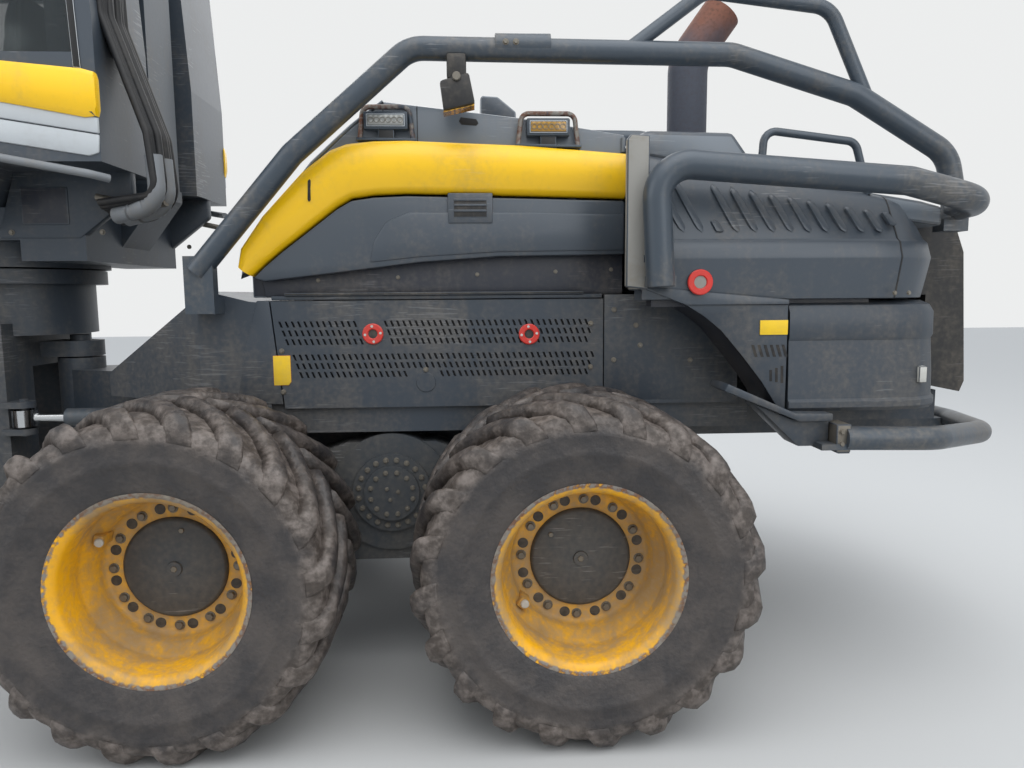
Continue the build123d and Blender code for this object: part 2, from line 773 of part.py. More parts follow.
def rear_bumper():
    tube = bent_tube([(-3905, guard_y - 10, 1120), (-4300, guard_y - 20, 1110), (bumper_x + 190, 820, 1080),
                      (bumper_x, 300, bumper_z), (bumper_x, -300, bumper_z), (bumper_x + 190, -820, 1080),
                      (-4300, -guard_y + 20, 1110), (-3905, -guard_y + 10, 1120)], bumper_r, bumper_bend)
    bracket = block(bumper_x, rear_end_x, 200, 330, tow_z + tow_r + 20, bumper_z + 10)
    lug = block(tow_x - 40, tow_x + 55, -tow_t / 2, tow_t / 2, tow_z - 60, bumper_z - 40)
    lug -= y_disc(tow_x, -tow_t, tow_t, tow_z, tow_r)
    step = block(-4060, -3800, 900, guard_y + 20, 1075, 1100)
    arm = block(-3990, -3940, frame_half_y, 1000, 1030, 1080)
    hang = block(bumper_x + 30, rear_end_x, -80, 80, tow_z - 60, frame_top_z - 10)
    return tube + both(bracket) + both(step) + both(arm) + lug + hang


def rear_grille():
    """Deep frame behind the housing with level slats across its opening."""
    rear_x = housing_end_x - 230
    frame = profile_xz([
        (housing_end_x, 2040), (housing_end_x, 1706), (-4480, 1706), (-4480, 1290), (rear_x - 20, 1250),
        (rear_x - 40, 1300), (rear_x, 1900), (rear_x + 50, 2030), (rear_x + 110, 2080), (housing_end_x - 40, 2080),
    ], -grille_half_y, grille_half_y)
    frame -= block(rear_x - 60, rear_x + 90, -grille_half_y + 90, grille_half_y - 90, 1340, 1990)
    pitch = 650 / grille_slat_count
    for i in range(grille_slat_count):
        z = 1340 + pitch * (i + 0.5)
        frame += block(rear_x + 20, rear_x + 60, -grille_half_y + 80, grille_half_y - 80, z - grille_slat_t / 2,
                       z + grille_slat_t / 2)
    for y in (-200, 200):
        frame += block(rear_x + 55, rear_x + 95, y - 15, y + 15, 1335, 1995)
    return frame


def guard_rails():
    """Main rails over the hood, outer guard tubes round the housing and the left hoop by the exhaust."""
    end_x = housing_end_x - 70
    main = bent_tube([(-1225, rail_y, 1823), (-1639, rail_y, 2305), (-2134, rail_y, 2730), (-3480, rail_y, 2715),
                      (-4020, rail_y, 2555), (end_x + 50, rail_y, 2310), (end_x, rail_y, 2090)], rail_r, 150)
    guard = bent_tube([(housing_front_x - 57, guard_y, 1750), (housing_front_x - 30, guard_y, 2230),
                       (-4120, guard_y, 2158), (end_x + 50, guard_y - 30, 2085), (end_x - 10, rail_y, 2085)],
                      guard_r, 130)
    foot = block(housing_front_x - 115, housing_front_x - 7, housing_half_y, guard_y + 20, 1745, 1790)
    rest = block(end_x, housing_end_x, rail_y - 40, rail_y + 40, 1980, 2030)
    rest += block(end_x - 40, end_x + 40, rail_y - 40, rail_y + 40, 1980, 2110)
    rest += block(-1300, -1180, nose_half_y, rail_y + 30, 1650, 1720)
    rest += block(-1300, -1180, rail_y - 30, rail_y + 30, 1700, 1890)
    hoop = bent_tube([(-3060, rail_y, 2745), (-3370, hoop_y, 2975), (-3905, hoop_y, 2915), (-4075, rail_y, 2530)],
                     hoop_r, 110)
    return both(main + rest) + both(guard + foot) + hoop


def exhaust_stack():
    stack = bent_tube([(exhaust_x, exhaust_y, 2300), (exhaust_x, exhaust_y, 2880), (exhaust_x - 165, exhaust_y, 3110)],
                      exhaust_r, 210)
    bore = bent_tube([(exhaust_x, exhaust_y, 2420), (exhaust_x, exhaust_y, 2880), (exhaust_x - 167, exhaust_y, 3113)],
                     exhaust_r - exhaust_wall, 210)
    return stack - bore


lamp_table = [
    # centre x, centre z, half length of the base strip
    (-2018.0, 2463.0, 128.0),
    (-2715.0, 2438.0, 145.0),
]


def band_top(x):
    """Height of the band's upper edge at x, where the lamps stand."""
    for (x0, z0, _, _), (x1, z1, _, _) in zip(band_table, band_table[1:]):
        if x1 <= x <= x0:
            return z0 + (z1 - z0) * (x - x0) / (x1 - x0)


def on_band(x0, x1, y0, y1, high0, high1):
    """Piece that stands on the band's sloping upper edge between its corners."""
    xs = [x0] + [x for x, _, _, _ in band_table if x1 < x < x0] + [x1]
    return profile_xz([(x, band_top(x)) for x in xs] + [(x1, high1), (x0, high0)], y0, y1)


def work_lamps():
    """Flat lamps on the ledge beside the hood's top, each with its foot and guard on one base strip."""
    lamps = []
    for cx, cz, half in lamp_table:
        x0, x1 = cx + half, cx - half
        y0, y1 = lamp_y - lamp_d / 2, lamp_y + lamp_d / 2
        low, high = cz - lamp_h / 2, cz + lamp_h / 2
        lamp = on_band(x0, x1, y0, y1, band_top(x0) + 12, band_top(x1) + 12)
        lamp += on_band(cx + 35, cx - 35, y0 + 8, y1 - 8, cz, cz)
        lamp += block(cx - lamp_w / 2, cx + lamp_w / 2, y0, y1, low, high)
        lamp -= block(cx - lamp_w / 2 + 10, cx + lamp_w / 2 - 10, y1 - 5, y1 + 1, low + 10, high - 10)
        lamp += bent_tube([(x0 - 14, lamp_y, band_top(x0 - 14) + 8), (x0 - 30, lamp_y, high + 22),
                           (x1 + 30, lamp_y, high + 22), (x1 + 14, lamp_y, band_top(x1 + 14) + 8)],
                          lamp_guard_r, 35)
        lamps.append(lamp)
        lamps.append(mirror_y(lamp))
    return lamps


save("engine_block", engine_block())
save("engine_hood", engine_hood())
save("side_panels", side_panel())
save("rear_housing", rear_housing())
save("rear_bumper", rear_bumper())
save("rear_grille", rear_grille())
save("guard_rails", guard_rails())
save("exhaust_stack", exhaust_stack())
save("work_lamps", work_lamps())


# Slewing platform and cab

cab_side = [
    (cab_rear_x, cab_tail_z), (cab_tail_x, cab_tail_z), (cab_tail_x + 80, cab_floor_z), (700, cab_floor_z),
    (900, 2450), (950, 2900), (880, roof_z - roof_t), (cab_rear_x + 40, roof_z - roof_t), (cab_rear_x, 2850),
]
cab_inner = [
    (cab_rear_x + 50, cab_tail_z + 50), (cab_tail_x + 25, cab_tail_z + 50), (cab_tail_x + 110, cab_floor_z + 50),
    (672, cab_floor_z + 50), (848, 2465), (898, 2900), (833, roof_z), (cab_rear_x + 92, roof_z),
    (cab_rear_x + 50, 2850),
]


def slew_platform():
    """Slewing ring with the platform under the cab and the raised tail that carries the crane."""
    ring = z_disc(0, 0, slew_z + slew_gap, 2000, turret_r + 20)
    plate = block(cab_tail_x - 10, 640, -platform_half_y, platform_half_y, 1985, cab_floor_z)
    tail = block(platform_tail_x, cab_tail_x, -platform_half_y, platform_half_y, 1890, cab_tail_z)
    socket = z_disc(0, 0, slew_z, slew_z + spigot_h + 6, spigot_r + pin_clear)
    seat = profile_xz([(-810, cab_tail_z), (-810, cab_tail_z - 60), (-610, 1960), (-610, cab_tail_z)],
                      -column_half_y, column_half_y)
    return ring + plate + tail + seat - socket


def cab_band():
    """Bevelled band round the cab's rear quarter, below the side windows."""
    outline = [(cab_rear_x, 2458), (cab_rear_x, 2640), (-178, 2705), (-178, 2570)]
    inset = [(cab_rear_x + 12, 2476), (cab_rear_x + 12, 2622), (-190, 2687), (-190, 2588)]
    faces = []
    for points, y in ((outline, cab_half_y - 5), (outline, cab_half_y + 14), (inset, cab_half_y + 28)):
        faces.append(Face(Wire.make_polygon([(x, y, z) for x, z in points], close=True)))
    return loft(faces, ruled=True)


def cab_shell():
    outer = profile_xz(cab_side, -cab_half_y, cab_half_y)
    inner = profile_xz(cab_inner, -cab_half_y + cab_wall, cab_half_y - cab_wall)
    gap = block(cab_rear_x - 10, recess_x, -recess_half_y, recess_half_y, cab_floor_z - 10, roof_z)
    wall = block(cab_rear_x - 10, recess_x + cab_wall, -recess_half_y - cab_wall, recess_half_y + cab_wall,
                 cab_floor_z - 10, roof_z)
    shell = (outer - gap) - (inner - wall)
    side_win = both(profile_xz([(-770, 2720), (-180, 2720), (-180, 3480), (-740, 3480)],
                               cab_half_y - cab_wall - 1, 900))
    door_win = profile_xz([(door_x0, 2430), (760, 2430), (820, 2600), (820, 3000), (750, 3480), (door_x0, 3480)],
                          -900, -cab_half_y + cab_wall + 1)
    door_hole = block(door_x0, door_x1, cab_half_y - cab_wall - 1, 900, door_z0, door_z1)
    front = profile_yz([(-710, 2230), (710, 2230), (710, 3470), (-710, 3470)], 650, 1000)
    back = block(recess_x - 10, recess_x + cab_wall + 10, -230, 230, 2800, 3450)
    shell = shell - side_win - door_win - door_hole - front - back
    for z in door_hinge_z:
        for z0 in (z - 50, z + 23):
            shell += z_disc(door_x0, door_hinge_y, z0, z0 + 27, 12)
            shell += block(door_x0 - 40, door_x0, cab_half_y - 1, door_hinge_y + 12, z0, z0 + 27)
        shell += z_disc(door_x0, door_hinge_y, z - 50, z + 50, 6)
    return shell + both(cab_band())


def cab_roof():
    plate = profile_xz([
        (cab_rear_x + 40, roof_z - roof_t), (900, roof_z - roof_t), (850, roof_z),
        (cab_rear_x + 90, roof_z),
    ], -cab_half_y, cab_half_y)
    return plate - block(cab_rear_x - 10, recess_x, -recess_half_y, recess_half_y, roof_z - 100, roof_z + 10)


def cab_glass():
    """Panes set in the middle of the walls."""
    y = cab_half_y - cab_wall / 2
    side = profile_xz([(-770, 2720), (-180, 2720), (-180, 3480), (-740, 3480)], y - glass_t / 2, y + glass_t / 2)
    right = profile_xz([(door_x0, 2430), (760, 2430), (820, 2600), (820, 3000), (750, 3480),
                        (door_x0, 3480)], -y - glass_t / 2, -y + glass_t / 2)
    front = profile_xz([(754, 2230), (871, 2458), (921, 2900), (858, 3470), (850, 3470), (913, 2900),
                        (863, 2460), (746, 2230)], -710, 710)
    back = block(recess_x + 21, recess_x + 29, -230, 230, 2800, 3450)
    return [side, mirror_y(side), right, front, back]


def cab_door():
    y0 = cab_half_y - cab_wall
    leaf = block(door_x0 + door_gap, door_x1 - door_gap, y0 + 4, cab_half_y - 4, door_z0 + door_gap,
                 door_z1 - door_gap)
    leaf -= block(door_x0 + 70, door_x1 - 70, y0 - 10, cab_half_y + 10, 2430, door_z1 - 70)
    for z in door_hinge_z:
        tab = z_disc(door_x0, door_hinge_y, z - 20, z + 20, 12)
        tab += block(door_x0, door_x0 + 50, cab_half_y - 6, door_hinge_y + 12, z - 20, z + 20)
        leaf += tab - z_disc(door_x0, door_hinge_y, z - 30, z + 30, 6 + pin_clear)
    return leaf


def door_glass():
    y = cab_half_y - cab_wall / 2
    return block(door_x0 + 70, door_x1 - 70, y - glass_t / 2, y + glass_t / 2, 2430, door_z1 - 70)


def operator_seat():
    base = z_disc(seat_x, 0, cab_floor_z + 50, 2440, 120)
    cushion = block(seat_x - 230, seat_x + 260, -250, 250, 2430, 2560)
    back = profile_xz([(seat_x - 240, 2540), (seat_x - 120, 2540), (seat_x - 190, 3180), (seat_x - 290, 3180)],
                      -240, 240)
    arms = block(seat_x - 150, seat_x + 330, 270, 350, 2700, 2770)
    brace = block(seat_x - 100, seat_x, 240, 350, 2480, 2710)
    return base + cushion + back + both(arms) + both(brace)


def crane_column():
    """Column in the cab's rear recess with the cross tube and the cylinder horn."""
    x0, x1 = lift_pivot_x - 120, lift_pivot_x + 120
    post = block(x0, x1, -column_half_y, column_half_y, cab_tail_z, lift_pivot_z)
    cross = y_disc(lift_pivot_x, -fork_y + fork_t / 2 + 6, fork_y - fork_t / 2 - 6, lift_pivot_z, 105)
    pins = y_disc(lift_pivot_x, -fork_y - fork_t / 2 - 25, fork_y + fork_t / 2 + 25, lift_pivot_z, crane_pin_r)
    fx, fz = lift_foot
    horn = profile_xz([(x0, lift_pivot_z), (x1, lift_pivot_z), (fx + 70, fz + 20), (fx + 30, fz + 60),
                       (fx - 30, fz + 60), (fx - 70, fz + 20)], crane_lug_y, crane_lug_y + crane_lug_t)
    horn_pin = y_disc(fx, -crane_lug_y - crane_lug_t, crane_lug_y + crane_lug_t, fz, eye_pin_r)
    hose_plate = block(-960, -790, 100, recess_half_y - 10, hose_top_z, hose_top_z + 30)
    hose_plate += block(-960, cab_rear_x - 10, 100, 740, hose_top_z, hose_top_z + 30)
    return post + cross + pins + both(horn) + horn_pin + hose_plate


save("slew_platform", slew_platform())
save("cab_shell", cab_shell())
save("cab_roof", cab_roof())
save("cab_glass", cab_glass())
save("cab_door", cab_door())
save("door_glass", door_glass())
save("operator_seat", operator_seat())
save("crane_column", crane_column())


# Crane boom

def lift_boom():
    """Fork arms over the roof that meet in one beam ahead of the cab."""
    d = boom_depth / 2
    arm = block(0, 1950, fork_y - fork_t / 2, fork_y + fork_t / 2, -d, d)
    arm += y_disc(0, fork_y - fork_t / 2, fork_y + fork_t / 2, 0, 135)
    arm = arm - y_disc(0, 0, 900, 0, crane_pin_r + pin_clear)
    merge = profile_xy([(1750, -fork_y - fork_t / 2), (1950, -fork_y - fork_t / 2), (2450, -150), (2450, 150),
                        (1950, fork_y + fork_t / 2), (1750, fork_y + fork_t / 2), (1850, fork_y - 160),
                        (1850, -fork_y + 160)], -d, d)
    beam = block(2400, boom_len - 240, -150, 150, -d - 10, d + 10)
    ear = block(boom_len - 300, boom_len, stick_w / 2 + 8, stick_w / 2 + 43, -d, d)
    ear += y_disc(boom_len, stick_w / 2 + 8, stick_w / 2 + 43, 0, d + 10)
    pin = y_disc(boom_len, -stick_w / 2 - 60, stick_w / 2 + 60, 0, crane_pin_r)
    y0, y1 = crane_lug_y, crane_lug_y + crane_lug_t
    ex, ez = lift_eye_along, lift_eye_up
    tube = y_disc(ex, -fork_y, fork_y, 0, 60)
    lug = profile_xz([(ex - 55, 0), (ex + 55, 0), (ex + 35, ez + 40), (ex - 35, ez + 40)], y0, y1)
    eye_pin = y_disc(ex, -y1, y1, ez, eye_pin_r)
    fx, fz = stick_foot_along, stick_foot_up
    foot = profile_xz([(fx - 120, -d + 5), (fx + 160, -d + 5), (fx + 40, fz - 40), (fx - 40, fz - 40)], y0, y1)
    foot_pin = y_disc(fx, -y1, y1, fz, eye_pin_r)
    whole = both(arm) + merge + beam + both(ear) + pin + tube + both(lug) + eye_pin + both(foot) + foot_pin
    return on_line(whole, lift_pivot_x, lift_pivot_z, boom_angle)


def stick():
    """Box stick with its knuckle boss and the cylinder lever, open at the tip for the extension."""
    w, d = stick_w / 2, stick_d / 2
    box = block(-60, stick_len, -w, w, -d, d)
    box += y_disc(0, -w, w, 0, d)
    box -= block(260, stick_len + 1, -w + stick_wall, w - stick_wall, -d + stick_wall, d - stick_wall)
    box -= y_disc(0, -w - 1, w + 1, 0, crane_pin_r + pin_clear)
    y0, y1 = crane_lug_y, crane_lug_y + crane_lug_t
    ex, ez = stick_eye_along, stick_eye_up
    lug = profile_xz([(ex - 130, -d + 5), (ex + 150, -d + 5), (ex + 38, ez - 40), (ex - 38, ez - 40)], y0, y1)
    eye_pin = y_disc(ex, -y1, y1, ez, eye_pin_r)
    wi, di = w - stick_wall, d - stick_wall
    mouth = block(stick_len - 160, stick_len - 10, -wi, wi, -di, di)
    mouth -= block(stick_len - 170, stick_len, -wi + ext_clear - pad_gap, wi - ext_clear + pad_gap,
                   -di + ext_clear - pad_gap, di - ext_clear + pad_gap)
    return on_line(box + mouth + both(lug) + eye_pin, knuckle_x, knuckle_z, stick_angle)


def stick_extension():
    w = stick_w / 2 - stick_wall - ext_clear
    d = stick_d / 2 - stick_wall - ext_clear
    box = block(300, tip_len - 120, -w, w, -d, d)
    box -= block(299, tip_len - 200, -w + 14, w - 14, -d + 14, d - 14)
    ear = block(tip_len - 200, tip_len, 62, w, -d, d) + y_disc(tip_len, 62, w, 0, 85)
    pin = y_disc(tip_len, -w - 20, w + 20, 0, 35)
    return on_line(box + both(ear) + pin, knuckle_x, knuckle_z, stick_angle)


def cylinder(foot, eye, retract):
    """Barrel and rod between two pins; the rod's eye has a wide hole and stays clear when drawn in."""
    length = math.hypot(eye[0] - foot[0], eye[1] - foot[1])
    angle = math.degrees(math.atan2(eye[1] - foot[1], eye[0] - foot[0]))
    half = crane_lug_y - 6
    barrel_len = length - eye_r - retract - cyl_end_gap
    barrel = x_disc(0, barrel_len, 0, 0, cyl_r) + y_disc(0, -half, half, 0, 62)
    barrel -= y_disc(0, -90, 90, 0, eye_pin_r + pin_clear)
    barrel -= x_disc(cyl_base, barrel_len + 1, 0, 0, cyl_rod_r + pin_clear)
    bar = x_disc(cyl_base + retract + cyl_end_gap, length - eye_hole_r, 0, 0, cyl_rod_r)
    bar += y_disc(length, -half, half, 0, eye_r)
    bar -= y_disc(length, -90, 90, 0, eye_hole_r)
    return on_line(barrel, foot[0], foot[1], angle), on_line(bar, foot[0], foot[1], angle)


save("lift_boom", lift_boom())
save("stick", stick())
save("stick_extension", stick_extension())

cylinder_table = [
    # name, foot pin, rod eye pin, travel inwards
    ("lift", lift_foot, lift_eye, lift_retract),
    ("stick", stick_foot, stick_eye, stick_retract),
]
for name, foot, eye, retract in cylinder_table:
    barrel, bar = cylinder(foot, eye, retract)
    save(f"{name}_cylinder", barrel)
    save(f"{name}_rod", bar)


# Harvester head

link_z = tip_z - link_drop
rotor_z = link_z - rotor_drop


def boom_link():
    """Cross link: one pin along Y at the crane tip, one along X below it."""
    part = y_disc(tip_x, -54, 54, tip_z, 60)
    part -= y_disc(tip_x, -60, 60, tip_z, 35 + pin_clear)
    part += block(tip_x - 50, tip_x + 50, -50, 50, link_z + 75, tip_z - 50)
    part -= y_disc(tip_x, -60, 60, tip_z, 35 + pin_clear)
    ear = block(tip_x + 50, tip_x + 75, -50, 50, link_z, link_z + 110) + x_disc(tip_x + 50, tip_x + 75, 0, link_z, 50)
    ear += mirror(ear, about=Plane.YZ.offset(tip_x))
    part += block(tip_x - 75, tip_x + 75, -50, 50, link_z + 75, link_z + 112)
    return part + ear + x_disc(tip_x - 85, tip_x + 85, 0, link_z, 28)


def rotator():
    part = x_disc(tip_x - 45, tip_x + 45, 0, link_z, 52) + block(tip_x - 45, tip_x + 45, -52, 52, link_z - 120, link_z)
    part -= x_disc(tip_x - 60, tip_x + 60, 0, link_z, 28 + pin_clear)
    part += z_disc(tip_x, 0, rotor_z, link_z - 110, rotator_r)
    return part - z_disc(tip_x, 0, rotor_z - 1, rotor_z + 106, spindle_r + pin_clear)


def tilt_frame():
    """Fork under the rotator that carries the head's tilt hinge."""
    half = spine_half_x + 10
    part = z_disc(tip_x, 0, rotor_z - 60, rotor_z - joint_gap, rotator_r)
    part += z_disc(tip_x, 0, rotor_z - 60, rotor_z + 100, spindle_r)
    part += block(tip_x - half - 40, tip_x + half + 40, -260, 160, rotor_z - 100, rotor_z - 50)
    side = profile_yz([(-260, rotor_z - 60), (160, rotor_z - 60), (160, rotor_z - 110), (tilt_y + 60, tilt_z - 60),
                       (tilt_y - 60, tilt_z - 60), (tilt_y - 70, tilt_z + 20)], tip_x + half, tip_x + half + 40)
    side += mirror(side, about=Plane.YZ.offset(tip_x))
    return part + side + x_disc(tip_x - half - 50, tip_x + half + 50, tilt_y, tilt_z, 35)


def head_frame():
    """Spine of the head with the hinge lugs, knife bracket and roller brackets."""
    part = block(tip_x - spine_half_x, tip_x + spine_half_x, spine_y0, spine_y1, spine_z0, spine_z1)
    boss = x_disc(tip_x - spine_half_x, tip_x + spine_half_x, tilt_y, tilt_z, 75)
    boss += block(tip_x - spine_half_x, tip_x + spine_half_x, tilt_y - 75, tilt_y + 75, spine_z1 - 30, tilt_z)
    part += boss
    part -= x_disc(tip_x - 300, tip_x + 300, tilt_y, tilt_z, 35 + pin_clear)
    for s in (-1, 1):
        hx = tip_x + s * arm_hinge_x
        for y0, y1 in ((-600, -576), (-502, -480), (-130, -105), (105, 130)):
            part += block(tip_x + s * spine_half_x, hx, y0, y1, arm_hinge_z - 45, arm_hinge_z + 45)
            part += y_disc(hx, y0, y1, arm_hinge_z, 45)
        part += y_disc(hx, -610, -470, arm_hinge_z, 25)
        part += y_disc(hx, -140, 140, arm_hinge_z, 25)
    return part


def saw_box():
    """Flat box for the chain saw at the head's butt end."""
    knee_z = spine_z0 - 20
    return profile_xz([
        (tip_x - 180, spine_z1), (tip_x + 180, spine_z1), (tip_x + 330, knee_z), (tip_x + 330, saw_z0),
        (tip_x + 220, saw_z0), (tip_x + 170, knee_z - 20), (tip_x - 180, knee_z - 20),
    ], spine_y1, spine_y1 + saw_t)


def knife(side):
    """Curved delimbing knife that closes round the stem, in its own plane beside the other."""
    hx = arm_hinge_x
    y0 = knife_y if side > 0 else knife_y + knife_t + 6
    y1 = y0 + knife_t
    arc = y_disc(knife_cx, y0, y1, knife_cz, knife_outer_r) - y_disc(knife_cx, y0 - 1, y1 + 1, knife_cz, knife_inner_r)
    reach = block(90, 600, y0 - 5, y1 + 5, knife_cz - knife_outer_r - 90, spine_z0 - 20)
    reach += block(spine_half_x + 12, 600, y0 - 5, y1 + 5, spine_z0 - 30, arm_hinge_z + 5)
    arc = arc & reach
    arc += y_disc(hx, y0, y1, arm_hinge_z, 50)
    arc -= y_disc(hx, y0 - 5, y1 + 5, arm_hinge_z, 25 + pin_clear)
    arc = Pos(tip_x, 0, 0) * arc
    return arc if side > 0 else mirror(arc, about=Plane.YZ.offset(tip_x))


def feed_roller(side):
    """Arm with its driven roller."""
    hx = arm_hinge_x
    arm = y_disc(hx, -98, 98, arm_hinge_z, 50)
    arm += profile_xz([(hx - 40, arm_hinge_z), (hx + 40, arm_hinge_z), (roller_x + 60, roller_z1 - 15),
                       (roller_x - 60, roller_z1 - 15)], -80, 80)
    arm += z_disc(roller_x, 0, roller_z0, roller_z1, roller_r)
    bar_z = (roller_z0 + roller_z1) / 2
    for i in range(roller_bars):
        bar = Pos(roller_r, 0, bar_z) * Box(2 * roller_bar_out, 20, roller_z1 - roller_z0 - 40)
        arm += Pos(roller_x, 0, 0) * Rot(0, 0, 360 * i / roller_bars) * bar
    arm -= y_disc(hx, -200, 200, arm_hinge_z, 25 + pin_clear)
    arm = Pos(tip_x, 0, 0) * arm
    return arm if side > 0 else mirror(arm, about=Plane.YZ.offset(tip_x))


save("boom_link", boom_link())
save("rotator", rotator())
save("tilt_frame", tilt_frame())
save("head_frame", head_frame())
save("saw_box", saw_box())
for side_name, side in (("front", 1), ("rear", -1)):
    save(f"knife_{side_name}", knife(side))
    save(f"feed_roller_{side_name}", feed_roller(side))


# Hoses from the crane column into the slewing platform

def cab_hoses():
    """Bundle that hangs from the crane column and turns back under the cab floor."""
    runs = []
    for y, r, low in ((690, 24, 2150), (600, 30, 2110), (510, 30, 2070)):
        inner_y = y - 190
        runs.append(bent_tube([(-885 - r, y, hose_top_z), (-885 - r, y, low + 150), (-850, inner_y + 90, low),
                               (-730, inner_y, low - 40), (platform_tail_x, inner_y, low - 40)], r, 60))
    return runs


save("cab_hoses", cab_hoses())
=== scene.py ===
import json
import math

import bmesh
import bpy
from mathutils import Matrix, Vector, noise

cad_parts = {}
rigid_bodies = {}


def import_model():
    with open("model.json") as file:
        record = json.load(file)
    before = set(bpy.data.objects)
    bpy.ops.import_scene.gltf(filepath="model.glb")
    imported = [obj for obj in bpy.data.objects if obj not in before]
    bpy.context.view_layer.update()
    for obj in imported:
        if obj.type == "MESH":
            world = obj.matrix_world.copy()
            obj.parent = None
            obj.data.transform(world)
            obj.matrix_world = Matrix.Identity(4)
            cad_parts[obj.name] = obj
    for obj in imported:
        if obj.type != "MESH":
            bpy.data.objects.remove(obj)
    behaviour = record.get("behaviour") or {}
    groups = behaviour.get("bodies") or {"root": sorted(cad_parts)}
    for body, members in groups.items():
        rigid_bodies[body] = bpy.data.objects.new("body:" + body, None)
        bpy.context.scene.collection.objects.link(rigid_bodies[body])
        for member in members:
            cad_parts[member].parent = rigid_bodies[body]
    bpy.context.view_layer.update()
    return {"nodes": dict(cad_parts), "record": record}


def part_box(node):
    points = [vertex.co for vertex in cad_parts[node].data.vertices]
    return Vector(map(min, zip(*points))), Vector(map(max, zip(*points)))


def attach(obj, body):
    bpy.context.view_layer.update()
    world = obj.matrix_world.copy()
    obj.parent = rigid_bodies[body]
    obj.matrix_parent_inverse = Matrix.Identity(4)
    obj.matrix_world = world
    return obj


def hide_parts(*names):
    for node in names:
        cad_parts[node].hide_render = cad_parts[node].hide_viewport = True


for leftover in list(bpy.data.objects):
    bpy.data.objects.remove(leftover)
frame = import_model()
scene = bpy.context.scene
xAxis, yAxis, zAxis = Vector((1, 0, 0)), Vector((0, 1, 0)), Vector((0, 0, 1))
print("frame loaded with", len(frame["nodes"]), "nodes")


# Camera, light and floor

studio = {
    "cameraPlace": (-2.376, 4.084, 1.721),
    "cameraAim": (-0.0516, -0.9916, -0.1187),
    "cameraRoll": -0.008,
    "lens": 26.3,
    "sensor": 36.0,
    "floorSize": 60.0,
    "floorTone": (0.46, 0.46, 0.45, 1.0),
    "floorSpot": (0.38, 0.38, 0.37, 1.0),
    "skyTone": (0.88, 0.93, 1.0, 1.0),
    "skyStrength": (0.20, 1.50),  # towards the ground and straight up
    "skyRise": (-0.25, 0.95),
    "backTone": (0.84, 0.85, 0.85, 1.0),
    "lampAim": (-1.5, 0.0, 1.0),
}

softBoxes = [
    # name, place, size, watts
    ("skyPanel", (-3.0, 3.5, 9.0), 9.0, 480.0),
    ("sidePanel", (-7.5, 8.0, 4.5), 5.0, 130.0),
    ("frontPanel", (7.0, 5.0, 6.0), 6.0, 160.0),
    ("farPanel", (0.0, -8.0, 7.0), 7.0, 260.0),
]


# Nodes written as plain Python

class Number:  # a socket that Python's operators extend with Math nodes
    def __init__(self, graph, socket):
        self.graph = graph
        self.socket = socket

    def maths(self, operation, first, second):
        return self.graph.node("ShaderNodeMath", {"operation": operation}, {0: first, 1: second})

    def __add__(self, other):
        return self.maths("ADD", self, other)

    def __sub__(self, other):
        return self.maths("SUBTRACT", self, other)

    def __rsub__(self, other):
        return self.maths("SUBTRACT", other, self)

    def __mul__(self, other):
        return self.maths("MULTIPLY", self, other)

    def __truediv__(self, other):
        return self.maths("DIVIDE", self, other)

    def __rtruediv__(self, other):
        return self.maths("DIVIDE", other, self)

    __radd__ = __add__
    __rmul__ = __mul__


class Graph:  # a node tree under construction
    def __init__(self, tree):
        self.tree = tree

    def node(self, kind, settings=None, inputs=None, output=0):
        made = self.tree.nodes.new(kind)
        for key, value in (settings or {}).items():
            setattr(made, key, value)
        for key, value in (inputs or {}).items():
            self.feed(made.inputs[key], value)
        return Number(self, made.outputs[output])

    def feed(self, socket, value):
        if isinstance(value, Number):
            self.tree.links.new(value.socket, socket)
        else:
            socket.default_value = value


def makeStudio():
    lens = bpy.data.cameras.new("photoCamera")
    lens.lens = studio["lens"]
    lens.sensor_width = studio["sensor"]
    camera = bpy.data.objects.new("photoCamera", lens)
    scene.collection.objects.link(camera)
    aim = Vector(studio["cameraAim"]).to_track_quat("-Z", "Y").to_matrix().to_4x4()
    camera.matrix_world = (Matrix.Translation(studio["cameraPlace"]) @ aim
                           @ Matrix.Rotation(studio["cameraRoll"], 4, "Z"))
    scene.camera = camera
    scene.view_settings.view_transform = "Standard"
    for name, place, size, watts in softBoxes:
        light = bpy.data.lights.new(name, "AREA")
        light.energy = watts
        light.size = size
        lamp = bpy.data.objects.new(name, light)
        lamp.location = place
        gaze = Vector(studio["lampAim"]) - Vector(place)
        lamp.rotation_euler = gaze.to_track_quat("-Z", "Y").to_euler()
        scene.collection.objects.link(lamp)
    world = bpy.data.worlds.new("softSky")
    world.use_nodes = True
    sky = world.node_tree.nodes["Background"]
    sky.inputs["Color"].default_value = studio["skyTone"]
    graph = Graph(world.node_tree)
    look = graph.node("ShaderNodeTexCoord", output="Generated")
    rise = graph.node("ShaderNodeSeparateXYZ", {}, {0: look}, "Z")
    fade = graph.node("ShaderNodeMapRange", {"interpolation_type": "SMOOTHSTEP"},
                      {"Value": rise, "From Min": studio["skyRise"][0],
                       "From Max": studio["skyRise"][1], "To Min": studio["skyStrength"][0],
                       "To Max": studio["skyStrength"][1]})
    graph.feed(sky.inputs["Strength"], fade)
    back = graph.node("ShaderNodeBackground", {}, {"Color": studio["backTone"], "Strength": 1.0})
    seen = graph.node("ShaderNodeLightPath", output="Is Camera Ray")
    for ray in ("Is Glossy Ray", "Is Transmission Ray"):
        seen = seen.maths("MAXIMUM", seen, graph.node("ShaderNodeLightPath", output=ray))
    mixed = graph.node("ShaderNodeMixShader", {}, {0: seen, 1: Number(graph, sky.outputs[0]),
                                                   2: back})
    graph.feed(world.node_tree.nodes["World Output"].inputs["Surface"], mixed)
    scene.world = world


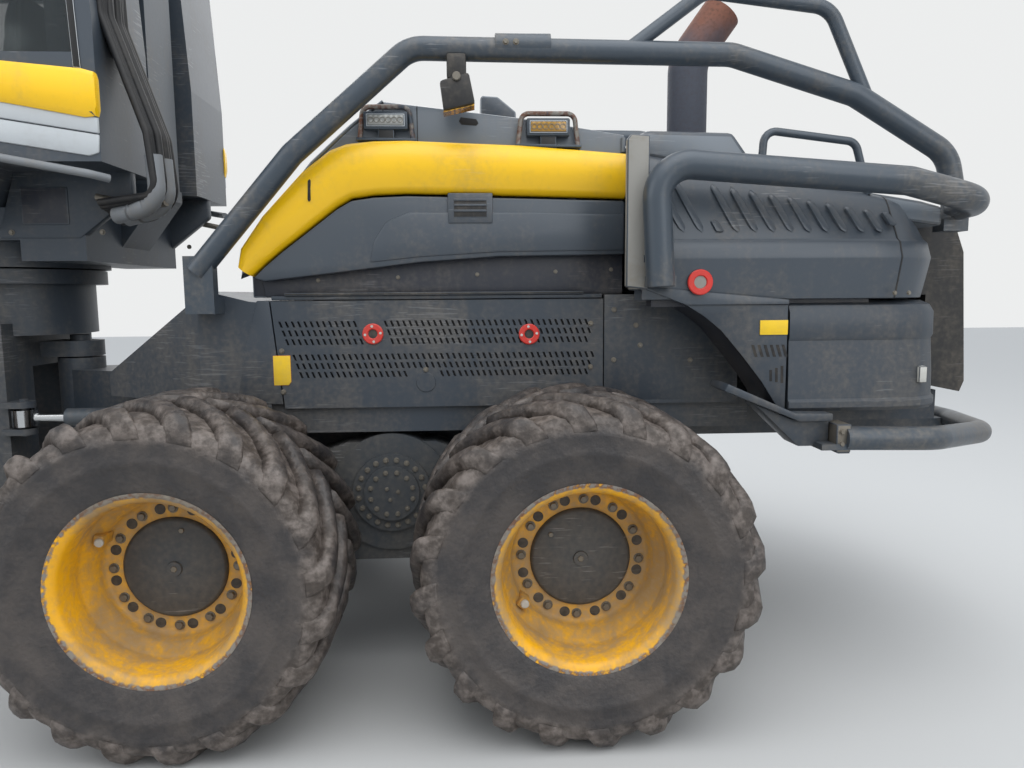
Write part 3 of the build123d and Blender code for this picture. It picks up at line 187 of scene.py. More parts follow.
def tone(red, green, blue):  # a colour seen on a screen, 0 to 255, as linear light
    def linear(value):
        share = value / 255
        return share / 12.92 if share <= 0.04045 else ((share + 0.055) / 1.055) ** 2.4
    return (linear(red), linear(green), linear(blue), 1.0)


class Finish(Graph):  # one material, with the patterns that most surfaces share
    def __init__(self, name):
        self.material = bpy.data.materials.new(name)
        self.material.use_nodes = True
        super().__init__(self.material.node_tree)
        self.shader = self.tree.nodes["Principled BSDF"]
        self.place = self.node("ShaderNodeTexCoord", output="Object")

    def stretched(self, scale, turn=(0, 0, 0)):
        return self.node("ShaderNodeMapping", {}, {"Vector": self.place, "Scale": scale,
                                                   "Rotation": turn})

    def cloud(self, scale, detail=4.0, place=None):
        return self.node("ShaderNodeTexNoise", {},
                         {"Vector": place or self.place, "Scale": scale, "Detail": detail})

    def step(self, value, low, high):
        return self.node("ShaderNodeMapRange", {"interpolation_type": "SMOOTHSTEP"},
                         {"Value": value, "From Min": low, "From Max": high})

    def tint(self, share, low, high):
        return self.node("ShaderNodeMix", {"data_type": "RGBA"}, {0: share, 6: low, 7: high}, 2)

    def height(self):
        return self.node("ShaderNodeSeparateXYZ", {}, {0: self.place}, "Z")

    def painted(self, name):  # a value stored on the mesh's points
        return self.node("ShaderNodeAttribute", {"attribute_name": name}, output=2)

    def relief(self, value, depth, strength=0.6):
        bump = self.node("ShaderNodeBump", {}, {"Height": value, "Distance": depth,
                                                "Strength": strength})
        self.feed(self.shader.inputs["Normal"], bump)

    def shade(self, **sockets):
        for name, value in sockets.items():
            self.feed(self.shader.inputs[name.replace("_", " ")], value)
        return self.material


exhaustBurn = {"from": 2.98, "full": 3.3}  # heights between which the pipe turns to rust

soil = {
    "pale": tone(150, 140, 124),
    "dark": tone(74, 64, 54),
    "rust": tone(104, 62, 38),
    "bare": tone(128, 124, 118),
}

paintTable = [
    # name, colour, soil share, scratch share, roughness, metal share, coat
    ("yellowPaint", tone(252, 200, 6), 0.30, 0.20, 0.36, 0.0, 0.30),
    ("rimPaint", tone(236, 172, 8), 0.75, 0.25, 0.42, 0.0, 0.15),
    ("slatePaint", tone(64, 72, 81), 0.32, 0.35, 0.38, 0.15, 0.25),
    # the next row is the slate paint made lighter for upward-facing tops: a painted highlight of
    # the sky light falling on them
    ("topPaint", tone(102, 110, 118), 0.28, 0.25, 0.36, 0.15, 0.25),
    ("dustyPaint", tone(140, 138, 132), 0.95, 0.75, 0.60, 0.0, 0.0),
    ("framePaint", tone(54, 62, 71), 0.30, 0.25, 0.46, 0.10, 0.10),
    ("shadowPaint", tone(36, 40, 50), 0.25, 0.15, 0.45, 0.0, 0.10),
    ("railPaint", tone(60, 70, 80), 0.45, 0.35, 0.36, 0.20, 0.20),
    ("cabGrey", tone(186, 191, 194), 0.25, 0.10, 0.34, 0.0, 0.30),
    ("hubPaint", tone(58, 63, 68), 0.26, 0.45, 0.50, 0.10, 0.0),
    ("cranePaint", tone(66, 74, 82), 0.35, 0.30, 0.40, 0.15, 0.20),
    ("engineCast", tone(92, 96, 92), 0.50, 0.10, 0.60, 0.30, 0.0),
    ("blackPlastic", tone(26, 27, 29), 0.30, 0.15, 0.50, 0.0, 0.0),
    ("gripRubber", tone(22, 22, 24), 0.35, 0.0, 0.68, 0.0, 0.0),
    ("hoseRubber", tone(24, 25, 28), 0.14, 0.0, 0.50, 0.0, 0.0),
    ("sleeveGrey", tone(120, 124, 128), 0.40, 0.0, 0.55, 0.0, 0.0),
    ("wornSteel", tone(122, 118, 110), 0.50, 0.40, 0.42, 0.75, 0.0),
    ("rodChrome", tone(200, 202, 204), 0.05, 0.0, 0.12, 1.0, 0.0),
    ("signalRed", tone(204, 48, 38), 0.20, 0.10, 0.40, 0.0, 0.10),
    ("plateYellow", tone(238, 196, 24), 0.30, 0.20, 0.45, 0.0, 0.0),
    ("platePale", tone(196, 196, 190), 0.35, 0.20, 0.45, 0.0, 0.0),
    ("seatVinyl", tone(44, 46, 50), 0.10, 0.0, 0.62, 0.0, 0.0),
]


def paintFinish(name, colour, soilShare, scratchShare, roughness, metal, coat):
    made = Finish(name)
    cloud = made.cloud(2.3, 7.0)
    speck = made.cloud(46.0, 5.0)
    run = made.cloud(1.0, 4.0, made.stretched((15.0, 15.0, 1.6)))
    low = 1.0 - made.step(made.height(), 0.7, 2.3)
    grime = made.step(cloud * 0.75 + speck * 0.35 + run * 0.4 + low * 0.18, 0.70, 1.08) * soilShare
    mark = made.cloud(1.0, 2.0, made.stretched((9.0, 9.0, 150.0), (0.2, 0.5, 0.1)))
    scratch = made.step(mark * cloud, 0.36, 0.42) * scratchShare
    worn = made.step(made.painted("wear") * (speck * 0.9 + cloud * 0.7), 0.52, 0.72)
    soiled = made.tint(speck, soil["dark"], soil["pale"])
    rusty = made.tint(made.step(speck, 0.4, 0.6), soil["rust"], soil["bare"])
    lightPaint = made.tint(0.35, colour, (0.75, 0.75, 0.75, 1.0))
    shaded = made.tint(made.step(cloud, 0.2, 0.8) * 0.22, colour,
                       tuple(c * 0.72 for c in colour[:3]) + (1.0,))
    surface = made.tint(scratch, shaded, lightPaint)
    surface = made.tint(worn, surface, rusty)
    surface = made.tint(grime, surface, soiled)
    made.relief(speck * 0.3 + grime * 0.8 + worn * 0.4, 0.0016)
    rough = roughness + grime * 0.35 + worn * 0.2 + speck * 0.06
    return made.shade(Base_Color=surface, Roughness=rough, Metallic=metal, Coat_Weight=coat,
                      Coat_Roughness=0.25)


def treadFinish():  # rubber under dried mud, thick where the mesh says so
    made = Finish("muddyRubber")
    mud = made.painted("mud")
    cloud = made.cloud(7.0, 8.0)
    speck = made.cloud(60.0, 6.0)
    clod = made.cloud(22.0, 6.0)
    cover = made.step(mud * 0.9 + cloud * 0.9 + clod * 0.5, 1.05, 1.75)
    film = made.step(cloud + speck * 0.3, 0.45, 0.85) * 0.5
    rubber = made.tint(film, tone(48, 46, 47), tone(90, 82, 76))
    clay = made.tint(made.step(clod + speck * 0.5, 0.55, 1.0), tone(62, 54, 48), tone(112, 103, 97))
    surface = made.tint(cover, rubber, clay)
    made.relief(clod * 0.8 + speck * 0.6 + cover * 0.3, 0.007, 0.9)
    return made.shade(Base_Color=surface, Roughness=0.58 + cover * 0.12 - clod * 0.25)


def rustFinish():
    made = Finish("scaledRust")
    cloud = made.cloud(9.0, 7.0)
    speck = made.cloud(70.0, 5.0)
    burnt = made.step(made.height() + cloud * 0.35, exhaustBurn["from"], exhaustBurn["full"])
    surface = made.tint(burnt, tone(70, 74, 84), tone(116, 74, 58))
    surface = made.tint(made.step(speck, 0.45, 0.75) * (burnt * 0.5 + 0.15), surface,
                        tone(84, 60, 50))
    made.relief(cloud * 0.4 + speck, 0.002)
    return made.shade(Base_Color=surface, Roughness=0.5 + speck * 0.3, Metallic=0.35)


def lampFinish(name, colour):  # a lens with round cells behind it
    made = Finish(name)
    cell = made.node("ShaderNodeTexVoronoi", {}, {"Vector": made.place, "Scale": 46.0,
                                                  "Randomness": 0.0})
    dish = made.step(cell, 0.15, 0.6)
    surface = made.tint(dish, colour, tuple(c * 0.35 for c in colour[:3]) + (1.0,))
    return made.shade(Base_Color=surface, Roughness=0.08 + dish * 0.1, Coat_Weight=0.8)


def glassFinish():
    made = Finish("cabGlass")
    film = made.step(made.cloud(3.0, 5.0), 0.4, 0.8)
    surface = made.tint(film, tone(40, 50, 54), tone(96, 104, 104))
    return made.shade(Base_Color=surface, Roughness=0.04 + film * 0.08, Alpha=0.42 + film * 0.12,
                      Coat_Weight=0.5)


def makeFinishes():
    made = {row[0]: paintFinish(*row) for row in paintTable}
    made["muddyRubber"] = treadFinish()
    made["scaledRust"] = rustFinish()
    made["whiteLens"] = lampFinish("whiteLens", tone(226, 228, 222))
    made["amberLens"] = lampFinish("amberLens", tone(240, 178, 40))
    made["cabGlass"] = glassFinish()
    print("finishes made:", len(made))
    return made


makeStudio()
finishes = makeFinishes()


# Shapes

def roundedPath(points, bend, steps=6):  # straight runs joined by tangent arcs
    points = [Vector(p) for p in points]
    path = [points[0]]
    for before, corner, after in zip(points, points[1:], points[2:]):
        back, ahead = (before - corner).normalized(), (after - corner).normalized()
        turn = math.pi - back.angle(ahead)
        if turn < 0.02:
            path.append(corner)
            continue
        reach = min(bend * math.tan(turn / 2), (before - corner).length * 0.49,
                    (after - corner).length * 0.49)
        radius = reach / math.tan(turn / 2)
        middle = corner + (back + ahead).normalized() * (radius / math.cos(turn / 2))
        start, end = corner + back * reach, corner + ahead * reach
        for i in range(steps + 1):
            arm = (start - middle).lerp(end - middle, i / steps).normalized() * radius
            path.append(middle + arm)
    path.append(points[-1])
    return path


class Shape:  # gathers the surfaces of one piece
    def __init__(self, finish="framePaint"):
        self.mesh = bmesh.new()
        self.wear = self.mesh.verts.layers.float.new("wear")
        self.names = [finish]
        self.slot = 0
        self.wearNow = 0.0

    def use(self, finish, wear=0.0):
        if finish not in self.names:
            self.names.append(finish)
        self.slot = self.names.index(finish)
        self.wearNow = wear
        return self

    def face(self, corners):
        made = self.mesh.faces.new(corners)
        made.material_index = self.slot
        made.smooth = True
        return made

    def points(self, ring):
        made = [self.mesh.verts.new(p) for p in ring]
        for vert in made:
            vert[self.wear] = self.wearNow
        return made

    def loft(self, rings, closed=True, loop=False, caps=True):
        rows = [self.points(ring) for ring in rings]
        count = len(rows[0])
        pairs = list(zip(rows, rows[1:])) + ([(rows[-1], rows[0])] if loop else [])
        faces = []
        for here, there in pairs:
            for i in range(count if closed else count - 1):
                j = (i + 1) % count
                faces.append(self.face((here[i], here[j], there[j], there[i])))
        if caps and closed and not loop:
            faces.append(self.face(rows[0][::-1]))
            faces.append(self.face(rows[-1]))
        return faces

    def soften(self, faces, width, steps=2):
        bmesh.ops.recalc_face_normals(self.mesh, faces=faces)
        edges = {edge for face in faces for edge in face.edges if edge.calc_face_angle(0) > 0.35}
        bmesh.ops.bevel(self.mesh, geom=list(edges), offset=width, segments=steps, affect="EDGES",
                        clamp_overlap=True, profile=0.5)
        return self

    def prism(self, outline, axis, low, high, bevel=0.0):
        spread = {
            "X": lambda u, v, t: (t, u, v),
            "Y": lambda u, v, t: (u, t, v),
            "Z": lambda u, v, t: (u, v, t),
        }[axis]
        faces = self.loft([[spread(u, v, t) for u, v in outline] for t in (low, high)])
        if bevel:
            self.soften(faces, bevel)
        return self

    def box(self, low, high, bevel=0.0):
        outline = [(low[0], low[1]), (high[0], low[1]), (high[0], high[1]), (low[0], high[1])]
        return self.prism(outline, "Z", low[2], high[2], bevel)

    def lathe(self, profile, centre, axis, segments=48, loop=True):
        axis = Vector(axis)
        side = zAxis.cross(axis) if abs(axis.z) < 0.9 else xAxis.copy()
        side.normalize()
        up = axis.cross(side)
        rings = []
        for i in range(segments):
            angle = math.tau * i / segments
            arm = side * math.cos(angle) + up * math.sin(angle)
            rings.append([Vector(centre) + arm * r + axis * h for r, h in profile])
        self.loft(rings, closed=loop, loop=True)
        return self

    def disc(self, centre, axis, radius, thick, chamfer=0.003, segments=32):
        profile = [(0, 0), (radius, 0), (radius, thick - chamfer), (radius - chamfer, thick),
                   (0, thick)]
        return self.lathe(profile, centre, axis, segments, loop=False)

    def tube(self, points, radius, bend=0.1, segments=14, steps=6, radii=None):
        path = roundedPath(points, bend, steps)
        heading = (path[1] - path[0]).normalized()
        side = heading.orthogonal().normalized()
        rings = []
        for i, here in enumerate(path):
            ahead = path[min(i + 1, len(path) - 1)] - path[max(i - 1, 0)]
            ahead.normalize()
            side = (side - ahead * side.dot(ahead)).normalized()
            up = ahead.cross(side)
            size = radius if radii is None else radii(i / (len(path) - 1))
            rings.append([here + (side * math.cos(a) + up * math.sin(a)) * size
                          for a in (math.tau * k / segments for k in range(segments))])
        self.loft(rings)
        return self

    def mirrored(self):  # adds the same surfaces on the machine's other side
        copy = bmesh.ops.duplicate(self.mesh, geom=self.mesh.verts[:] + self.mesh.edges[:]
                                   + self.mesh.faces[:])
        for item in copy["geom"]:
            if isinstance(item, bmesh.types.BMVert):
                item.co.y = -item.co.y
        return self

    def object(self, name, sharp=32.0):
        bmesh.ops.remove_doubles(self.mesh, verts=self.mesh.verts, dist=0.00002)
        bmesh.ops.recalc_face_normals(self.mesh, faces=self.mesh.faces)
        mesh = bpy.data.meshes.new(name)
        self.mesh.to_mesh(mesh)
        self.mesh.free()
        for key in self.names:
            mesh.materials.append(finishes[key])
        mesh.set_sharp_from_angle(angle=math.radians(sharp))
        made = bpy.data.objects.new(name, mesh)
        scene.collection.objects.link(made)
        return made

    def ride(self, name, body, *replaced, sharp=32.0):
        return mount(self.object(name, sharp), body, *replaced)


def mount(piece, body, *replaced):
    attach(piece, body)
    if replaced:
        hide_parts(*replaced)
    return piece


# Repeats made with Geometry Nodes

def startTree(name, inputs):
    tree = bpy.data.node_groups.new(name, "GeometryNodeTree")
    for label, kind in inputs:
        tree.interface.new_socket(label, in_out="INPUT", socket_type="NodeSocket" + kind)
    tree.interface.new_socket("Geometry", in_out="OUTPUT", socket_type="NodeSocketGeometry")
    graph = Graph(tree)
    entry = tree.nodes.new("NodeGroupInput")
    return graph, {label: Number(graph, entry.outputs[label]) for label, kind in inputs}


def endTree(graph, copies, finish):
    real = graph.node("GeometryNodeRealizeInstances", {}, {"Geometry": copies})
    dressed = graph.node("GeometryNodeSetMaterial", {}, {"Geometry": real, "Material": finish})
    leave = graph.tree.nodes.new("NodeGroupOutput")
    graph.feed(leave.inputs["Geometry"], dressed)
    return graph.tree


def spotTree():  # a copy of the item on each point, turned as the point says
    graph, given = startTree("itemOnSpots", [("Spots", "Geometry"), ("Item", "Object"),
                                             ("Finish", "Material")])
    item = graph.node("GeometryNodeObjectInfo", {}, {"Object": given["Item"]}, "Geometry")
    turn = graph.node("GeometryNodeInputNamedAttribute", {"data_type": "FLOAT_VECTOR"},
                      {"Name": "turn"})
    size = graph.node("GeometryNodeInputNamedAttribute", {"data_type": "FLOAT"}, {"Name": "size"})
    spin = graph.node("FunctionNodeEulerToRotation", {}, {0: turn})
    copies = graph.node("GeometryNodeInstanceOnPoints", {}, {"Points": given["Spots"],
                                                             "Instance": item, "Rotation": spin,
                                                             "Scale": size})
    return endTree(graph, copies, given["Finish"])


def ringTree():  # copies of the item turned about the wheel axis
    graph, given = startTree("itemRoundAxis", [("Spots", "Geometry"), ("Item", "Object"),
                                               ("Count", "Int"), ("Centre", "Vector"),
                                               ("Finish", "Material")])
    item = graph.node("GeometryNodeObjectInfo", {}, {"Object": given["Item"]}, "Geometry")
    hub = graph.node("GeometryNodePoints", {}, {"Count": given["Count"],
                                                "Position": given["Centre"]})
    index = graph.node("GeometryNodeInputIndex")
    angle = index * math.tau / given["Count"]
    euler = graph.node("ShaderNodeCombineXYZ", {}, {"Y": angle})
    spin = graph.node("FunctionNodeEulerToRotation", {}, {0: euler})
    copies = graph.node("GeometryNodeInstanceOnPoints", {}, {"Points": hub, "Instance": item,
                                                             "Rotation": spin})
    return endTree(graph, copies, given["Finish"])


trees = {"spots": spotTree(), "ring": ringTree()}


def repeat(kind, name, item, finish, spots=None, **sizes):
    host = bpy.data.objects.new(name, spots or bpy.data.meshes.new(name))
    scene.collection.objects.link(host)
    tree = trees[kind]
    sockets = {socket.name: socket.identifier for socket in tree.interface.items_tree}
    modifier = host.modifiers.new("repeat", "NODES")
    modifier.node_group = tree
    modifier[sockets["Item"]] = item
    modifier[sockets["Finish"]] = finishes[finish]
    for label, value in sizes.items():
        modifier[sockets[label]] = value
    bpy.context.view_layer.update()
    final = host.evaluated_get(bpy.context.evaluated_depsgraph_get())
    mesh = bpy.data.meshes.new_from_object(final)
    bpy.data.objects.remove(host)
    made = bpy.data.objects.new(name, mesh)
    scene.collection.objects.link(made)
    return made


def repeatOnSpots(name, item, finish, rows):  # rows hold place, normal and size
    mesh = bpy.data.meshes.new(name)
    mesh.from_pydata([row[0] for row in rows], [], [])
    mesh.attributes.new("turn", "FLOAT_VECTOR", "POINT")
    mesh.attributes.new("size", "FLOAT", "POINT")
    turns, scales = mesh.attributes["turn"].data, mesh.attributes["size"].data
    for i, (place, normal, scale) in enumerate(rows):
        turns[i].vector = Vector(normal).to_track_quat("Z", "Y").to_euler()
        scales[i].value = scale
    return repeat("spots", name, item, finish, mesh)


def joined(name, *pieces):  # one object from several, in their own places
    mesh = bmesh.new()
    materials = []
    for piece in pieces:
        before = len(mesh.faces)
        mesh.from_mesh(piece.data)
        mesh.faces.ensure_lookup_table()
        used = list(piece.data.materials)
        for material in used:
            if material not in materials:
                materials.append(material)
        for face in mesh.faces[before:]:
            face.material_index = materials.index(used[face.material_index]) if used else 0
    data = bpy.data.meshes.new(name)
    mesh.to_mesh(data)
    mesh.free()
    for material in materials:
        data.materials.append(material)
    for piece in pieces:
        bpy.data.objects.remove(piece)
    made = bpy.data.objects.new(name, data)
    scene.collection.objects.link(made)
    return made


boltSpots = {}
boltSize = 0.012  # across the head of the item that the spots copy


def bolt(body, place, normal, size=boltSize):
    boltSpots.setdefault(body, []).append((Vector(place), Vector(normal), size / boltSize))


def boltRing(body, centre, axis, radius, count, size=boltSize, phase=0.0):
    axis = Vector(axis)
    side = axis.orthogonal().normalized()
    for i in range(count):
        arm = Matrix.Rotation(phase + math.tau * i / count, 3, axis) @ side
        bolt(body, Vector(centre) + arm * radius, axis, size)


def boltItem():  # hexagon head on a washer
    made = Shape("wornSteel")
    made.disc((0, 0, -0.002), zAxis, 0.0145, 0.0045, 0.001, 12)
    made.disc((0, 0, 0.002), zAxis, 0.0105, 0.008, 0.0015, 6)
    return made.object("boltItem")


# Wheels

wheel = {
    "radius": 0.6725,
    "lugCount": 20,
    "lugStart": -0.226,
    "lugHeight": 0.042,
    "lugTop": 0.031,
    "lugFoot": 0.056,
    "lugSweep": 0.50,
    "lugStations": 14,
    "lugShoulder": 0.78,  # share of a lug's length that lies on the tread
    "lugRoot": 0.006,  # depth of its foot, and half the gap between left and right lugs
    "lugArm": 0.65,  # radius at which its width becomes an angle
    "sideLimit": 0.3545,
    "treadHalf": 0.322,
    "mudDepth": 0.007,
    "mudFrom": 0.52,
    "mudRise": 0.06,
    "mudGrains": (19.0, 47.0),
    "lugFace": 0.655,  # past this radius part of the mud is worn off
    "segments": 152,
    "carcass": [(0.343, 0.298), (0.352, 0.313), (0.384, 0.325), (0.430, 0.338), (0.470, 0.3450),
                (0.476, 0.3485), (0.492, 0.3500), (0.500, 0.3470), (0.545, 0.3525), (0.556, 0.3535),
                (0.562, 0.3500), (0.590, 0.3460), (0.612, 0.332), (0.623, 0.300), (0.628, 0.200),
                (0.630, 0.090)],
}

rimSizes = {
    "nutCircle": 0.238,
    "nutCount": 12,
    "coverRadius": 0.198,
    "hubRadius": 0.215,
    "hubInner": -0.387,
    "face": 0.052,
    "valveTurn": 3.5,
    "valveRadius": 0.282,
    "nutHole": 0.021,
    "nutSize": 0.017,
    "spin": 0.55,  # turn from one wheel to the next
    "outline": [(0.3675, 0.3200), (0.3675, 0.3080), (0.3450, 0.3040), (0.3380, 0.2900),
                (0.3360, 0.1700), (0.2920, 0.1100), (0.2920, -0.1100), (0.3360, -0.1700),
                (0.3380, -0.2900), (0.3450, -0.3040), (0.3675, -0.3080), (0.3675, -0.3200),
                (0.3560, -0.3200), (0.3340, -0.3040), (0.3250, -0.2880), (0.3220, -0.1600),
                (0.2780, -0.1000), (0.2780, 0.0300), (0.1900, 0.0300), (0.1900, 0.0520),
                (0.2600, 0.0520), (0.2720, 0.0600), (0.2780, 0.0760), (0.2860, 0.1150),
                (0.3180, 0.1500), (0.3220, 0.1640), (0.3250, 0.2880), (0.3340, 0.3040),
                (0.3560, 0.3200)],
}


def carcassRadius(y):
    rows = wheel["carcass"]
    for (r1, y1), (r0, y0) in zip(rows[::-1], rows[-2::-1]):
        if y1 <= y <= y0 and y0 > y1:
            return r1 + (r0 - r1) * (y - y1) / (y0 - y1)
    return rows[-1][0] if y < rows[-1][1] else rows[-4][0]


def lugItem():  # one curved lug on each side of the tread, half a pitch apart
    made = Shape("muddyRubber")
    half = wheel["treadHalf"]
    root, shoulder = wheel["lugRoot"], wheel["lugShoulder"]
    pitch = math.tau / wheel["lugCount"]
    for side, shift in ((1, 0.0), (-1, pitch / 2)):
        rings = []
        for i in range(wheel["lugStations"] + 1):
            t = i / wheel["lugStations"]
            along = min(t / shoulder, 1.0)
            over = max((t - shoulder) / (1 - shoulder), 0.0)
            y = root + (half - root) * along + 0.024 * math.sin(over * math.pi / 2)
            base = carcassRadius(min(y, half)) - root - 0.050 * over
            rise = wheel["lugHeight"] * (1 - 0.42 * over) + root
            lean = over * 1.15
            turn = shift + wheel["lugStart"] + wheel["lugSweep"] * (1 - (1 - t) ** 1.5)
            top = wheel["lugTop"] * (1 + 0.15 * along)
            foot = wheel["lugFoot"] * (1 + 0.10 * along)
            ring = []
            for across, lift in ((-foot, 0), (-top * 1.18, 0.72), (-top * 0.8, 0.98), (0, 1.0),
                                 (top * 0.8, 0.98), (top * 1.18, 0.72), (foot, 0)):
                r = base + rise * lift * math.cos(lean)
                reach = y + rise * lift * math.sin(lean) * 0.32
                angle = turn + across / wheel["lugArm"]
                ring.append((-math.sin(angle) * r, side * min(reach, wheel["sideLimit"]),
                             math.cos(angle) * r))
            rings.append(ring)
        made.loft(rings)
    return made.object("lugItem", 180)


def makeTyre():  # one tyre at the origin; the wheels take turned copies
    made = Shape("muddyRubber")
    half = wheel["carcass"]
    liner = [(0.338, 0.290), (0.338, -0.290)]
    outline = half + [(r, -y) for r, y in half[::-1]]
    made.lathe(outline + liner[::-1], (0, 0, 0), yAxis, wheel["segments"])
    carcass = made.object("tyreCarcass", 60)
    item = lugItem()
    lugs = repeat("ring", "tyreLugs", item, "muddyRubber", Count=wheel["lugCount"],
                  Centre=(0, 0, 0))
    bpy.data.objects.remove(item)
    tyre = joined("tyreMaster", carcass, lugs)
    mud = tyre.data.attributes.new("mud", "FLOAT", "POINT")
    coarse, fine = wheel["mudGrains"]
    for i, vert in enumerate(tyre.data.vertices):
        r = math.hypot(vert.co.x, vert.co.z)
        amount = min(max((r - wheel["mudFrom"]) / wheel["mudRise"], 0.0), 1.0)
        clod = noise.noise(vert.co * coarse) + 0.5 * noise.noise(vert.co * fine)
        grown = min(r + amount * wheel["mudDepth"] * clod, wheel["radius"])
        vert.co.x *= grown / r
        vert.co.z *= grown / r
        mud.data[i].value = amount * (1.0 if r < wheel["lugFace"] else 0.72)
    return tyre


def makeRim():
    made = Shape("rimPaint")
    made.lathe(rimSizes["outline"], (0, 0, 0), yAxis, 96)
    for vert in made.mesh.verts:
        r = math.hypot(vert.co.x, vert.co.z)
        vert[made.wear] = 1.0 if r > 0.345 and abs(vert.co.y) > 0.30 else 0.12
    face, cover = rimSizes["face"], rimSizes["coverRadius"]
    made.use("hubPaint")
    made.lathe([(0, rimSizes["hubInner"]), (rimSizes["hubRadius"], rimSizes["hubInner"]),
                (rimSizes["hubRadius"], 0.028), (0, 0.028)], (0, 0, 0), yAxis, 48, loop=False)
    made.lathe([(0, face - 0.01), (cover + 0.004, face - 0.01), (cover + 0.004, face + 0.004),
                (cover - 0.004, face + 0.014), (cover - 0.012, face + 0.018), (0.030, face + 0.020),
                (0.028, face + 0.028), (0, face + 0.028)], (0, 0, 0), yAxis, 64, loop=False)
    made.use("wornSteel")
    made.disc((0, face + 0.024, 0), yAxis, 0.013, 0.008, 0.002, 6)
    made.disc((0.01, face + 0.016, -0.155), yAxis, 0.011, 0.009, 0.002, 6)
    made.use("blackPlastic")
    for i in range(rimSizes["nutCount"]):
        angle = math.tau * (i + 0.3) / rimSizes["nutCount"]
        place = (math.cos(angle) * rimSizes["nutCircle"], face - 0.001,
                 math.sin(angle) * rimSizes["nutCircle"])
        made.disc(place, yAxis, rimSizes["nutHole"], 0.003, 0.001, 20)
    turn = rimSizes["valveTurn"]
    arm = Vector((math.cos(turn), 0, math.sin(turn)))
    made.use("rimPaint", 0.2)
    block = arm * rimSizes["valveRadius"]
    made.box(block + Vector((-0.020, 0.060, -0.024)), block + Vector((0.020, 0.150, 0.024)), 0.010)
    made.use("platePale")
    made.disc(arm * 0.276 + Vector((0, 0.146, 0)), yAxis, 0.017, 0.012, 0.004, 16)
    return made.object("rimMaster", 40)


def placedCopy(master, name, centre, side, turn):
    mesh = master.data.copy()
    mesh.transform(Matrix.Rotation(turn, 4, "Y"))
    if side < 0:
        mesh.transform(Matrix.Scale(-1, 4, yAxis))
        mesh.flip_normals()
    mesh.transform(Matrix.Translation(centre))
    made = bpy.data.objects.new(name, mesh)
    scene.collection.objects.link(made)
    return made


def makeWheels():
    tyre, rim = makeTyre(), makeRim()
    spots = [node[5:] for node in sorted(frame["nodes"]) if node.startswith("tyre_")]
    bodies = frame["record"]["behaviour"]["bodies"]
    for i, spot in enumerate(spots):
        low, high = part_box(f"tyre_{spot}")
        centre = (low + high) / 2
        side = 1 if centre.y > 0 else -1
        body = next(b for b, nodes in bodies.items() if f"tyre_{spot}" in nodes)
        turn = math.tau / wheel["lugCount"] * 3 * i
        mount(placedCopy(tyre, f"{spot}_tread", centre, side, turn), body, f"tyre_{spot}")
        mount(placedCopy(rim, f"{spot}_dish", centre, side, -rimSizes["spin"] * i), body,
              f"rim_{spot}")
        boltRing(body, centre + yAxis * side * rimSizes["face"], yAxis * side,
                 rimSizes["nutCircle"], rimSizes["nutCount"], rimSizes["nutSize"],
                 0.1 + rimSizes["spin"] * i)
    for master in (tyre, rim):
        bpy.data.objects.remove(master)
    print("wheels made:", len(spots))


makeWheels()


# Rear body

hood = {
    "bandTop": [(-1.372, 1.850), (-1.386, 1.926), (-1.484, 2.064), (-1.659, 2.249), (-1.780, 2.340),
                (-1.851, 2.366), (-1.960, 2.378), (-2.102, 2.381), (-2.589, 2.362),
                (-3.052, 2.328)],
    "bandLow": [(-1.424, 1.808), (-1.483, 1.862), (-1.560, 1.925), (-1.690, 2.022), (-1.800, 2.105),
                (-1.862, 2.140), (-1.960, 2.154), (-2.102, 2.160), (-2.589, 2.150),
                (-3.052, 2.138)],
    "bandBulge": [(0.00, 0.000), (0.02, 0.030), (0.10, 0.046), (0.42, 0.056), (0.60, 0.050),
                  (0.86, 0.032), (0.96, 0.020), (1.00, 0.000)],
    "crown": [(-1.410, 1.856), (-1.445, 1.950), (-1.505, 2.075), (-1.690, 2.298), (-1.800, 2.398),
              (-1.866, 2.456), (-1.935, 2.508), (-2.003, 2.557), (-2.589, 2.491), (-3.056, 2.419)],
    "sideY": 0.740,
    "topY": 0.714,
    "sideLow": [(-3.052, 1.893), (-2.500, 1.887), (-2.153, 1.864), (-1.809, 1.823), (-1.480, 1.785),
                (-1.430, 1.800)],
    "latch": (-2.288, -2.459, 2.042, 2.147),
    "skirtBolts": (-1.70, -2.05, -2.40, -2.75, -3.0),
    "sidePlate": [(-3.050, 1.910), (-2.500, 1.905), (-2.150, 1.885), (-1.930, 1.862),
                  (-1.955, 1.960), (-2.010, 2.040), (-2.110, 2.080), (-2.600, 2.078),
                  (-3.050, 2.068)],
    "skirt": [(-1.470, 1.716), (-1.455, 1.800), (-1.850, 1.860), (-2.500, 1.910), (-3.052, 1.915),
              (-3.052, 1.716)],
    "frontPlate": [(-0.70, 1.716), (0.70, 1.716), (0.70, 1.860), (-0.70, 1.860)],
    "rearPlate": [(-0.72, 1.90), (0.72, 1.90), (0.72, 2.30), (0.60, 2.37), (-0.60, 2.37),
                  (-0.72, 2.30)],
    "intake": [(-2.427, 2.480), (-2.427, 2.648), (-2.437, 2.660), (-2.510, 2.655), (-2.597, 2.585),
               (-2.597, 2.470)],
    "seams": ((-2.003, 2.381, 2.548), (-2.149, 2.381, 2.531)),
    "catch": [(-2.329, 2.470), (-2.337, 2.488), (-2.405, 2.480), (-2.415, 2.462), (-2.405, 2.452),
              (-2.341, 2.456)],
    "bandNotch": [(-1.688, 2.206), (-1.696, 2.214), (-1.700, 2.206), (-1.696, 2.126),
                  (-1.688, 2.120), (-1.684, 2.130)],
}


